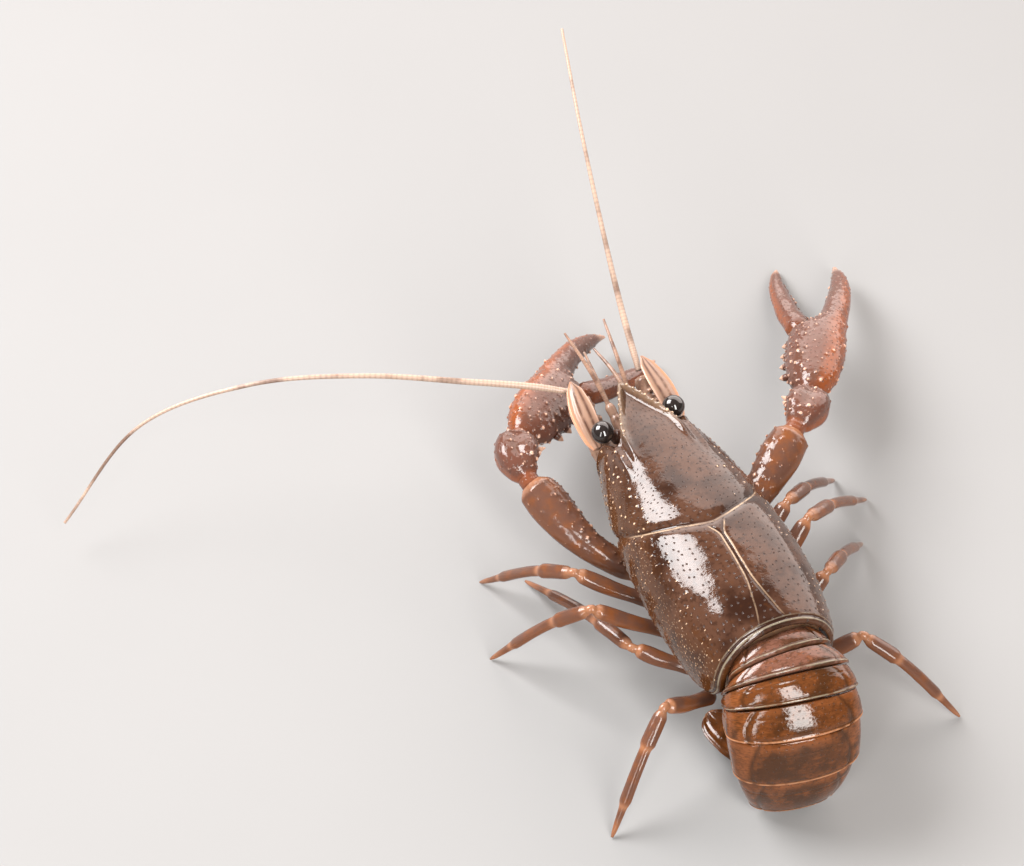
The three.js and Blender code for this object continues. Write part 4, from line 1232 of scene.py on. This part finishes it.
def grow_segment_grains(skin, spacing, side):
    """Tall grains on the segment's top towards the body, low ones all over its top."""
    top = skin.values["top"] * (skin.t > 0.12) * (skin.t < 0.95)
    toward_body = smooth(-0.2, 0.7, -side * skin.normals()[..., 0])
    skin.grains(skin.scatter(top * 0.9 * toward_body, spacing, 105 + side), 0.42, 0.3, "grain", 107 + side)
    skin.grains(skin.scatter(top * 0.3, spacing, 108 + side), 0.32, 0.15, "low_grain", 109 + side)


def swell_wrist(skin):
    """Rounds the wrist's edges and hollows its top."""
    skin.push(np.sin(math.pi * skin.t) ** 0.7 * (0.45 * np.sin(2 * skin.turn) ** 2 - 0.2))
    along = smooth(0.25, 0.5, skin.t) * (1 - smooth(0.8, 0.95, skin.t))
    skin.push(-0.55 * (hump(skin.turn - math.pi / 2, 0.3) * along))


def wrist_extras(claw, side):
    """Two spikes inside the wrist, and the soft skin before and behind it."""
    parts = []
    for at, way, reach in zip(*curve(claw["wrist"], np.array([0.5, 0.72])), (1.0, 1.7)):
        inward = unit(np.cross(way, UP)) * -side
        parts.append(spike_part(at + inward * 3.3, unit(inward + 0.5 * way), 0.75, reach))
    for near, far in ((claw["arm"], claw["wrist"]), (claw["wrist"], claw["hand"])):
        before, after = unit(near[-1] - near[-2]), unit(far[1] - far[0])
        parts.append(joint_skin(near[-1] - before, mix(near[-1], far[0], 0.5), far[0] + after, 1.75))
    return parts


def make_claws(arm_material, claw_material):
    for name, side in SIDES.items():
        claw = CLAWS[name]
        skin = claw_segment(claw["arm"], ARM_SIZES, side)
        grow_segment_grains(skin, 1.6, side)
        build_piece(f"claw_arm_{name}", "limb", arm_material, tube_part(skin))
        skin = claw_segment(claw["wrist"], WRIST_SIZES, side)
        swell_wrist(skin)
        grow_segment_grains(skin, 1.35, side)
        build_piece(f"claw_wrist_{name}", "claw", claw_material, tube_part(skin), *wrist_extras(claw, side))
        hand = Hand(side, *claw["hand"])
        hand.make_palm(f"claw_hand_{name}", claw_material)
        hand.make_finger(f"claw_finger_{name}", claw["opening"], claw_material)


# ---------------------------------------------------------------- walking legs

# Body, knee and foot of each leg; a foot's height is from the floor
FOOT_Z = 0.25
LEGS = {
    "left_2": ((-7.6, 26, 0.8), (-19.5, 33, 7.4), (-29, 49)),
    "left_3": ((-7.6, 19.5, 0.8), (-20.5, 24.4, 8.6), (-34, 34)),
    "left_4": ((-7.6, 11.5, 0.8), (-16, 18, 3.2), (-22, 46)),
    "left_5": ((-7.6, 5.5, 0.8), (-17.5, 3.4, 6.4), (-31, -6)),
    "right_2": ((7.6, 26, 0.8), (19.4, 31.6, 7), (35, 43)),
    "right_3": ((7.6, 19.5, 0.8), (20.5, 26.5, 8), (38, 37)),
    "right_4": ((7.6, 12.5, 0.8), (19, 16.5, 6.2), (33, 29)),
    "right_5": ((7.6, 5.5, 0.8), (18, 2.4, 6.4), (31, -9)),
}
# Stations [share, half width, half thickness], as shares of LEG_RADIUS
UPPER_LEG = [[0, 0.69, 0.69], [0.08, 0.97, 0.9], [0.3, 0.86, 0.79], [0.75, 1, 0.93], [0.93, 0.9, 0.83],
             [1, 0.55, 0.55]]
LOWER_LEG = [[0, 0.52, 0.52], [0.05, 0.83, 0.76], [0.25, 0.9, 0.83], [0.3, 0.66, 0.62], [0.7, 0.69, 0.59],
             [0.76, 0.48, 0.45], [0.95, 0.28, 0.28], [1, 0.14, 0.14]]


def leg_skin(line, stations, steps, joints=()):
    """Skin of half a leg, with its stations in millimetres."""
    sizes = [[t, width * LEG_RADIUS, thickness * LEG_RADIUS] for t, width, thickness in stations]
    return limb(line, sizes, 36, steps, joints=joints)


def make_legs(material):
    """Eight walking legs, each in two pieces that soft skin joins at the knee."""
    for name, (base, knee, foot) in LEGS.items():
        base, knee, foot = on_body(*base), on_body(*knee), np.array([*foot, FOOT_Z])
        rise, fall = unit(knee - base), unit(foot - knee)
        upper = [base, mix(base, knee, 0.5) - UP * 0.6, knee - rise * KNEE_GAP]
        skin = leg_skin(upper, UPPER_LEG, 60)
        skin.push(0.05 * wobble(skin.points, 2, 121))
        skin.put("joint", 1 - smooth(0.0, 0.1, skin.t))
        skin.put("joint", smooth(0.9, 0.98, skin.t))
        build_piece(f"leg_upper_{name}", "limb", material, tube_part(skin))

        lower = [knee + fall * KNEE_GAP, mix(knee, foot, 0.42) + UP * 1.6, foot]
        skin = leg_skin(lower, LOWER_LEG, 110, ((0.29, 0.025), (0.75, 0.025)))
        skin.push(0.05 * wobble(skin.points, 2, 122) * (1 - skin.t))
        skin.put("joint", 1 - smooth(0.0, 0.06, skin.t))
        skin.put("tip", smooth(0.8, 0.97, skin.t))
        reach = KNEE_GAP + 0.5
        knee_skin = joint_skin(knee - rise * reach, knee, knee + fall * reach, 0.52 * LEG_RADIUS)
        build_piece(f"leg_lower_{name}", "limb", material, tube_part(skin), knee_skin)


# ---------------------------------------------------------------- finishes

# In all of them noise and streaks take sizes in millimetres, and line a distance and a width

def carapace_finish(colours):
    """Dark mottled back, brown flanks, cream seams, grey rims, dark pits, and pale grains and specks,
    partly painted glints.
    """
    f = Finish("wet_carapace")
    dark_colour = colours.back_dark
    groove, seam, rear = f.value("from_groove"), f.value("from_seam"), f.value("from_rear")
    on_groove, on_seam, on_flank = f.value("groove_seam"), f.value("back_seam"), f.value("flank")
    fine = f.noise(1.1, 4)
    pits = f.dots(colours.pit_spacing / MM, colours.pit_radius / MM) * (0.3 + 0.7 * f.value("back"))
    # Pale specks on the flanks: partly the grains' own tone, partly painted glints, with a little relief
    specks_and_glints = f.dots(0.7, 0.13, 1.0) * on_flank * f.ease(f.noise(3.0), 0.35, 0.6)
    broken = 0.45 + 0.55 * f.ease(f.noise(1.6, 2), 0.35, 0.5)
    dark = (f.line(groove, 0.15, 0.45) * on_groove + f.line(seam, -0.3, 0.45) * on_seam
            + f.line(rear, 0.84, 0.42))
    pale = (f.line(groove, -0.24, 0.34) * on_groove + f.line(seam, 0.02, 0.26) * on_seam) * broken
    rim = f.line(rear, 0.48, 0.26) + f.line(rear, 1.25, 0.18) * 0.5
    back = f.paint(colours.back, (dark_colour, f.ease(f.noise(7.0, 4), 0.42, 0.70)),
                   (dark_colour, f.ease(f.noise(0.9, 3), 0.50, 0.66) * 0.6))
    flank = f.blend(colours.flank, dark_colour, f.ease(f.noise(3.0, 4), 0.50, 0.74) * 0.7)
    shade = f.paint(
        back, (flank, on_flank),
        (colours.low_flank, f.value("low") * 0.7),
        (colours.flank, f.ease(fine, 0.52, 0.80) * 0.45),
        (dark_colour, pits * 0.85),
        # Grain colour here is partly painted glint on the grains' tips
        (colours.grain, specks_and_glints * 0.35),
        (colours.grain, f.ease(f.value("grain"), 0.62, 1.0) * 0.85),
        (dark_colour, dark * 0.8),
        (colours.line, pale * 0.9),
        # Pale rostrum ridges: partly their own pale edge, partly painted highlight
        (colours.line, f.value("ridge") * 0.3),
        (colours.rim, rim * broken * 0.7))
    roughness = 0.06 + 0.05 * f.noise(2.5, 3) + 0.5 * pits + 0.2 * pale
    relief = fine * 0.7 + f.noise(0.35, 2) * 0.2 - pits * 0.8 - dark * 0.9 + pale * 0.4 + specks_and_glints * 0.6
    return f.finish(shade, roughness, relief, 0.05)


def tail_finish(colours):
    """Amber brown rings with dark patches, mottled orange side flaps and pale rear rims."""
    f = Finish("wet_tail")
    dark_colour = colours.dark
    to_rear, has_rim, grey, side = (f.value(name) for name in ("to_rear", "has_rim", "grey", "side"))
    late = 1 - grey
    streaks, fibres = f.streaks(1.4, 0.6), f.streaks(0.8, 0.25, 2)
    uneven = late * has_rim * f.ease(f.noise(3.0, 3), 0.36, 0.60)
    rim_colour = f.blend(colours.rim, colours.grey_rim, grey)
    rim = f.line(to_rear, 0.30, 0.24) * grey + f.line(to_rear, 0.26, 0.46) * late
    groove = f.line(to_rear, 0.62, 0.36) * (0.5 + 0.5 * grey)
    pits = f.dots(1.1, 0.15) * (1 - side)
    shade = f.paint(
        # Mauve of the first rings is partly painted sheen
        colours.back, (colours.first, f.value("front") * 0.8),
        (colours.side, f.ease(streaks, 0.50, 0.75) * 0.5),
        (dark_colour, f.ease(fibres, 0.48, 0.68) * 0.35),
        (dark_colour, f.ease(f.noise(0.8, 3), 0.50, 0.62) * 0.45),
        (dark_colour, f.ease(f.noise(4.5, 6), 0.46, 0.57) * 0.78),
        (dark_colour, f.value("middle") * f.ease(streaks, 0.25, 0.55) * 0.8),
        (colours.side, side * f.ease(f.noise(2.2, 4), 0.30, 0.66) * 0.85),
        (dark_colour, side * f.ease(fibres, 0.45, 0.7) * 0.5),
        (colours.side, (1 - f.ease(f.value("from_front"), 0.2, 2.4)) * uneven * 0.75),
        (colours.side, (1 - f.ease(to_rear, 0.3, 1.2)) * uneven * 0.6),
        (dark_colour, pits * 0.7),
        (dark_colour, groove * has_rim * 0.6),
        (rim_colour, rim * has_rim * (0.2 + 0.6 * f.ease(f.noise(2.0, 2), 0.35, 0.5))),
        (dark_colour, f.value("seam") * 0.8),
        (colours.belly, f.value("under")))
    relief = f.noise(0.8, 4) + f.noise(2.5, 2) + fibres * 0.4 - groove - pits
    return f.finish(shade, 0.04 + 0.06 * f.noise(2.0, 3), relief, 0.03, under_skin=0.05)


def belly_finish(colours):
    """Pale brown skin and plates underneath."""
    f = Finish("wet_belly")
    shade = f.paint(colours.belly, (colours.back, f.ease(f.noise(3.0, 4), 0.45, 0.8) * 0.6),
                    (colours.dark, f.value("fold") * 0.6))
    return f.finish(shade, 0.2 + 0.15 * f.noise(1.5), f.noise(0.9, 4), 0.05, under_skin=0.1)


def leg_finish(colours):
    """Orange brown legs, darker on top, pale at the joints."""
    f = Finish("wet_legs")
    shade = f.paint(
        colours.leg, (colours.leg_top, f.value("top") * f.ease(f.noise(2.6, 4), 0.25, 0.6)),
        (colours.joint, f.value("joint") * 0.42),
        (colours.joint, f.value("tip") * 0.3),
        (colours.spike, f.ease(f.value("grain"), 0.5, 1.0) * 0.8),
        (colours.spike, f.ease(f.value("low_grain"), 0.5, 1.0) * 0.3))
    return f.finish(shade, 0.08 + 0.10 * f.noise(1.8), f.noise(0.7, 3), 0.03, under_skin=0.08)


def claw_finish(colours):
    """Dark red brown claws with red orange sides, pale grains, spikes and tips."""
    f = Finish("wet_claws")
    blotch = f.noise(3.2, 4)
    pits = f.dots(1.0, 0.2) * f.value("top")
    shade = f.paint(
        colours.claw, (colours.leg_top, f.ease(blotch, 0.42, 0.68) * 0.7),
        (colours.claw_side, f.value("outside") * f.ease(blotch, 0.2, 0.5)),
        (colours.leg_top, pits * 0.8),
        (colours.claw_side, f.value("joint") * 0.5),
        (colours.spike, f.ease(f.value("grain"), 0.4, 0.95) * 0.9),
        (colours.spike, f.ease(f.value("low_grain"), 0.5, 1.0) * 0.3),
        (colours.spike, f.value("tip") * 0.6))
    return f.finish(shade, 0.07 + 0.10 * f.noise(1.8), f.noise(0.8, 3) * 0.4 - pits, 0.06)


def feeler_finish(colours, name, base, mottle):
    """Shell of the head's small limbs, with brown mottle of a size."""
    f = Finish(name)
    shade = f.paint(
        base, (colours.feeler_dark, f.ease(f.noise(mottle, 4), 0.45, 0.68) * 0.75),
        (colours.feeler_dark, f.value("joint") * 0.5),
        (colours.spike, f.ease(f.value("grain"), 0.5, 1.0) * 0.8))
    return f.finish(shade, 0.2 + 0.1 * f.noise(1.5), f.noise(0.6, 3), 0.03, under_skin=0.08)


def scale_finish(colours):
    """Striped blade beside each feeler, its edges pale and the outer one orange."""
    f = Finish("wet_scales")
    shade = f.paint(
        colours.feeler, (colours.feeler_dark, f.value("stripe") * f.ease(f.noise(2.5, 3), 0.2, 0.5)),
        (colours.joint, f.value("outer") * 0.8),
        (colours.spike, f.value("edge") * 0.9))
    return f.finish(shade, 0.18 + 0.1 * f.noise(1.5), f.noise(0.5, 3), 0.03, under_skin=0.1)


def eye_finish(colours):
    """Black glossy eye with a fine dark grain."""
    f = Finish("wet_eyes")
    shade = f.blend(colours.eye, colours.eye_grain, f.noise(0.5, 2))
    return f.finish(shade, 0.05 + 0.05 * f.noise(0.8), ior=EYE_IOR)


def finish_of(name, make, *settings):
    """The finish of that name, made once."""
    return bpy.data.materials.get(name) or make(*settings)


# ---------------------------------------------------------------- operators

class CRAYFISH_OT_carapace(bpy.types.Operator):
    """Carapace with its grooves, seams, grains and rims"""
    bl_idname = "crayfish.carapace"
    bl_label = "Carapace"

    def execute(self, context):
        settings = context.scene.crayfish_shell
        make_carapace(settings, finish_of("wet_carapace", carapace_finish, settings))
        return {"FINISHED"}


class CRAYFISH_OT_breast(bpy.types.Operator):
    """Body under the carapace, with the breast plate"""
    bl_idname = "crayfish.breast"
    bl_label = "Breast"

    def execute(self, context):
        make_breast(finish_of("wet_belly", belly_finish, context.scene.crayfish_tail))
        return {"FINISHED"}


class CRAYFISH_OT_tail(bpy.types.Operator):
    """Tail rings and the folded tail fan"""
    bl_idname = "crayfish.tail"
    bl_label = "Tail rings and fan"

    def execute(self, context):
        material = finish_of("wet_tail", tail_finish, context.scene.crayfish_tail)
        for i in range(len(RING_LENGTHS)):
            make_tail_ring(i, material)
        make_tail_fan(material)
        return {"FINISHED"}


class CRAYFISH_OT_swim_legs(bpy.types.Operator):
    """Swimming legs under the tail"""
    bl_idname = "crayfish.swim_legs"
    bl_label = "Swimming legs"

    def execute(self, context):
        make_swim_legs(finish_of("wet_legs", leg_finish, context.scene.crayfish_limbs))
        return {"FINISHED"}


class CRAYFISH_OT_eyes(bpy.types.Operator):
    """Eyes and their stalks"""
    bl_idname = "crayfish.eyes"
    bl_label = "Eyes"

    def execute(self, context):
        colours = context.scene.crayfish_limbs
        stalk = finish_of("wet_eye_stalks", feeler_finish, colours, "wet_eye_stalks",
                          colours.feeler_dark, 2.0)
        make_eyes(finish_of("wet_eyes", eye_finish, colours), stalk)
        return {"FINISHED"}


class CRAYFISH_OT_feelers(bpy.types.Operator):
    """Antenna bases, striped scales, short feelers and long whips"""
    bl_idname = "crayfish.feelers"
    bl_label = "Feelers"

    def execute(self, context):
        colours = context.scene.crayfish_limbs
        base = finish_of("wet_feelers", feeler_finish, colours, "wet_feelers", colours.feeler, 1.8)
        make_feelers(base, finish_of("wet_scales", scale_finish, colours))
        make_whips(finish_of("wet_whips", feeler_finish, colours, "wet_whips", colours.whip, 6.0))
        return {"FINISHED"}


class CRAYFISH_OT_mouth_legs(bpy.types.Operator):
    """Mouth legs under the head"""
    bl_idname = "crayfish.mouth_legs"
    bl_label = "Mouth legs"

    def execute(self, context):
        make_mouth_legs(finish_of("wet_legs", leg_finish, context.scene.crayfish_limbs))
        return {"FINISHED"}


class CRAYFISH_OT_claws(bpy.types.Operator):
    """Claw arms, wrists, hands and moving fingers"""
    bl_idname = "crayfish.claws"
    bl_label = "Claws"

    def execute(self, context):
        colours = context.scene.crayfish_limbs
        make_claws(finish_of("wet_legs", leg_finish, colours), finish_of("wet_claws", claw_finish, colours))
        return {"FINISHED"}


class CRAYFISH_OT_legs(bpy.types.Operator):
    """Eight walking legs"""
    bl_idname = "crayfish.legs"
    bl_label = "Walking legs"

    def execute(self, context):
        make_legs(finish_of("wet_legs", leg_finish, context.scene.crayfish_limbs))
        return {"FINISHED"}


# ---------------------------------------------------------------- stage

PICTURE = (1024, 866)
PICTURE_MARGIN = 1.07
FLOOR_HALF = 3.0
LIGHTS_AIM_Z = 0.02
SOFTBOX_SPREAD = 100
ROOM_COLOUR = (1, 0.98, 0.96, 1)
ROOM_STRENGTH = 0.18


def direction_of(azimuth, elevation):
    """From the animal towards a camera at that turn and height."""
    return Vector((math.sin(azimuth) * math.cos(elevation), -math.cos(azimuth) * math.cos(elevation),
                   math.sin(elevation)))


def make_floor(settings):
    corners = [(x * FLOOR_HALF, y * FLOOR_HALF, 0) for x, y in ((-1, -1), (1, -1), (1, 1), (-1, 1))]
    mesh = bpy.data.meshes.new("floor")
    mesh.from_pydata(corners, [], [(0, 1, 2, 3)])
    f = Finish("floor_paper")
    shade = f.blend(settings.floor, tuple(0.96 * c for c in settings.floor), f.noise(40, 2))
    mesh.materials.append(f.finish(shade, 0.7))
    floor = link_new("floor", mesh)


def place_camera(settings):
    """Camera at the set turn, height and distance, its lens and aim chosen to fill the picture."""
    back = direction_of(settings.azimuth, settings.elevation)
    right = Vector((math.cos(settings.azimuth), math.sin(settings.azimuth), 0))
    above = back.cross(right)
    target = (CAD_BOX[0] + CAD_BOX[1]) / 2
    points = np.concatenate([[v.co for v in node.data.vertices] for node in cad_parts.values()])
    for _ in range(8):
        offset = points - np.array(target + back * settings.distance)
        deep = -offset @ np.array(back)
        x, y = offset @ np.array(right) / deep, offset @ np.array(above) / deep
        shift = right * float(x.max() + x.min()) + above * float(y.max() + y.min())
        target = target + shift * (settings.distance / 2)
    half_width = max(np.ptp(x), np.ptp(y) * PICTURE[0] / PICTURE[1]) / 2 * PICTURE_MARGIN
    data = bpy.data.cameras.new("camera")
    data.sensor_width = 36
    data.lens = data.sensor_width / 2 / half_width
    data.clip_start = 0.01
    camera = link_new("camera", data)
    camera.location = target + back * settings.distance
    camera.rotation_euler = back.to_track_quat("Z", "Y").to_euler()
    bpy.context.scene.camera = camera


def place_light(name, direction, distance, size, power, tint, spread=180):
    """Soft rectangular light that faces the animal and fans out by spread degrees."""
    data = bpy.data.lights.new(name, "AREA")
    data.shape = "RECTANGLE"
    data.size, data.size_y = size
    data.energy = power
    data.spread = math.radians(spread)
    data.color = tint
    light = link_new(name, data)
    direction = Vector(direction).normalized()
    light.location = direction * distance + Vector((0, 0, LIGHTS_AIM_Z))
    light.rotation_euler = direction.to_track_quat("Z", "Y").to_euler()


def make_room():
    """Faint even light from all around."""
    world = bpy.data.worlds.new("studio")
    world.use_nodes = True
    background = world.node_tree.nodes["Background"]
    background.inputs["Color"].default_value = ROOM_COLOUR
    background.inputs["Strength"].default_value = ROOM_STRENGTH
    bpy.context.scene.world = world
    bpy.context.scene.view_settings.view_transform = "Standard"


class CRAYFISH_OT_stage(bpy.types.Operator):
    """Pale floor, soft studio light and the camera"""
    bl_idname = "crayfish.stage"
    bl_label = "Stage"

    def execute(self, context):
        settings = context.scene.crayfish_stage
        make_floor(settings)
        for light in (
            ("softbox", (-0.44, 0.56, 0.68), 0.8, (0.5, 0.5), settings.softbox_power,
             (1.0, 0.99, 0.99), SOFTBOX_SPREAD),
            ("front_box", (0.02, -0.82, 0.57), 0.8, (0.19, 0.8), settings.front_power,
             (1.0, 0.98, 0.95)),
            ("side_box", (-0.62, -0.62, 0.48), 0.8, (0.12, 0.66), settings.front_power / 3,
             (1.0, 0.98, 0.96)),
            ("wide_panel", (0.66, 0.64, 0.44), 1.0, (2.2, 1.04), settings.panel_power,
             (1.0, 0.90, 0.85)),
        ):
            place_light(*light)
        make_room()
        place_camera(settings)
        return {"FINISHED"}


OPERATORS = [
    CRAYFISH_OT_carapace, CRAYFISH_OT_breast, CRAYFISH_OT_tail, CRAYFISH_OT_swim_legs, CRAYFISH_OT_eyes,
    CRAYFISH_OT_feelers, CRAYFISH_OT_mouth_legs, CRAYFISH_OT_claws, CRAYFISH_OT_legs, CRAYFISH_OT_stage,
]
SETTINGS = {
    "crayfish_shell": CrayfishShellSettings,
    "crayfish_tail": CrayfishTailSettings,
    "crayfish_limbs": CrayfishLimbSettings,
    "crayfish_stage": CrayfishStageSettings,
}


class CRAYFISH_PT_panel(bpy.types.Panel):
    """Lists the animal's pieces and their sizes"""
    bl_idname = "CRAYFISH_PT_panel"
    bl_label = "Crayfish"
    bl_space_type = "VIEW_3D"
    bl_region_type = "UI"
    bl_category = "Crayfish"

    def draw(self, context):
        for operator in OPERATORS:
            self.layout.operator(operator.bl_idname)
        for name, group in SETTINGS.items():
            box = self.layout.box()
            for field in group.__annotations__:
                box.prop(getattr(context.scene, name), field)


def register():
    for group in SETTINGS.values():
        bpy.utils.register_class(group)
    for name, group in SETTINGS.items():
        setattr(bpy.types.Scene, name, bpy.props.PointerProperty(type=group))
    for cls in (*OPERATORS, CRAYFISH_PT_panel):
        bpy.utils.register_class(cls)


def unregister():
    for cls in (CRAYFISH_PT_panel, *reversed(OPERATORS)):
        bpy.utils.unregister_class(cls)
    for name, group in SETTINGS.items():
        delattr(bpy.types.Scene, name)
        bpy.utils.unregister_class(group)


def main():
    register()
    for operator in OPERATORS:
        group, action = operator.bl_idname.split(".")
        getattr(getattr(bpy.ops, group), action)()


if __name__ == "__main__":
    main()
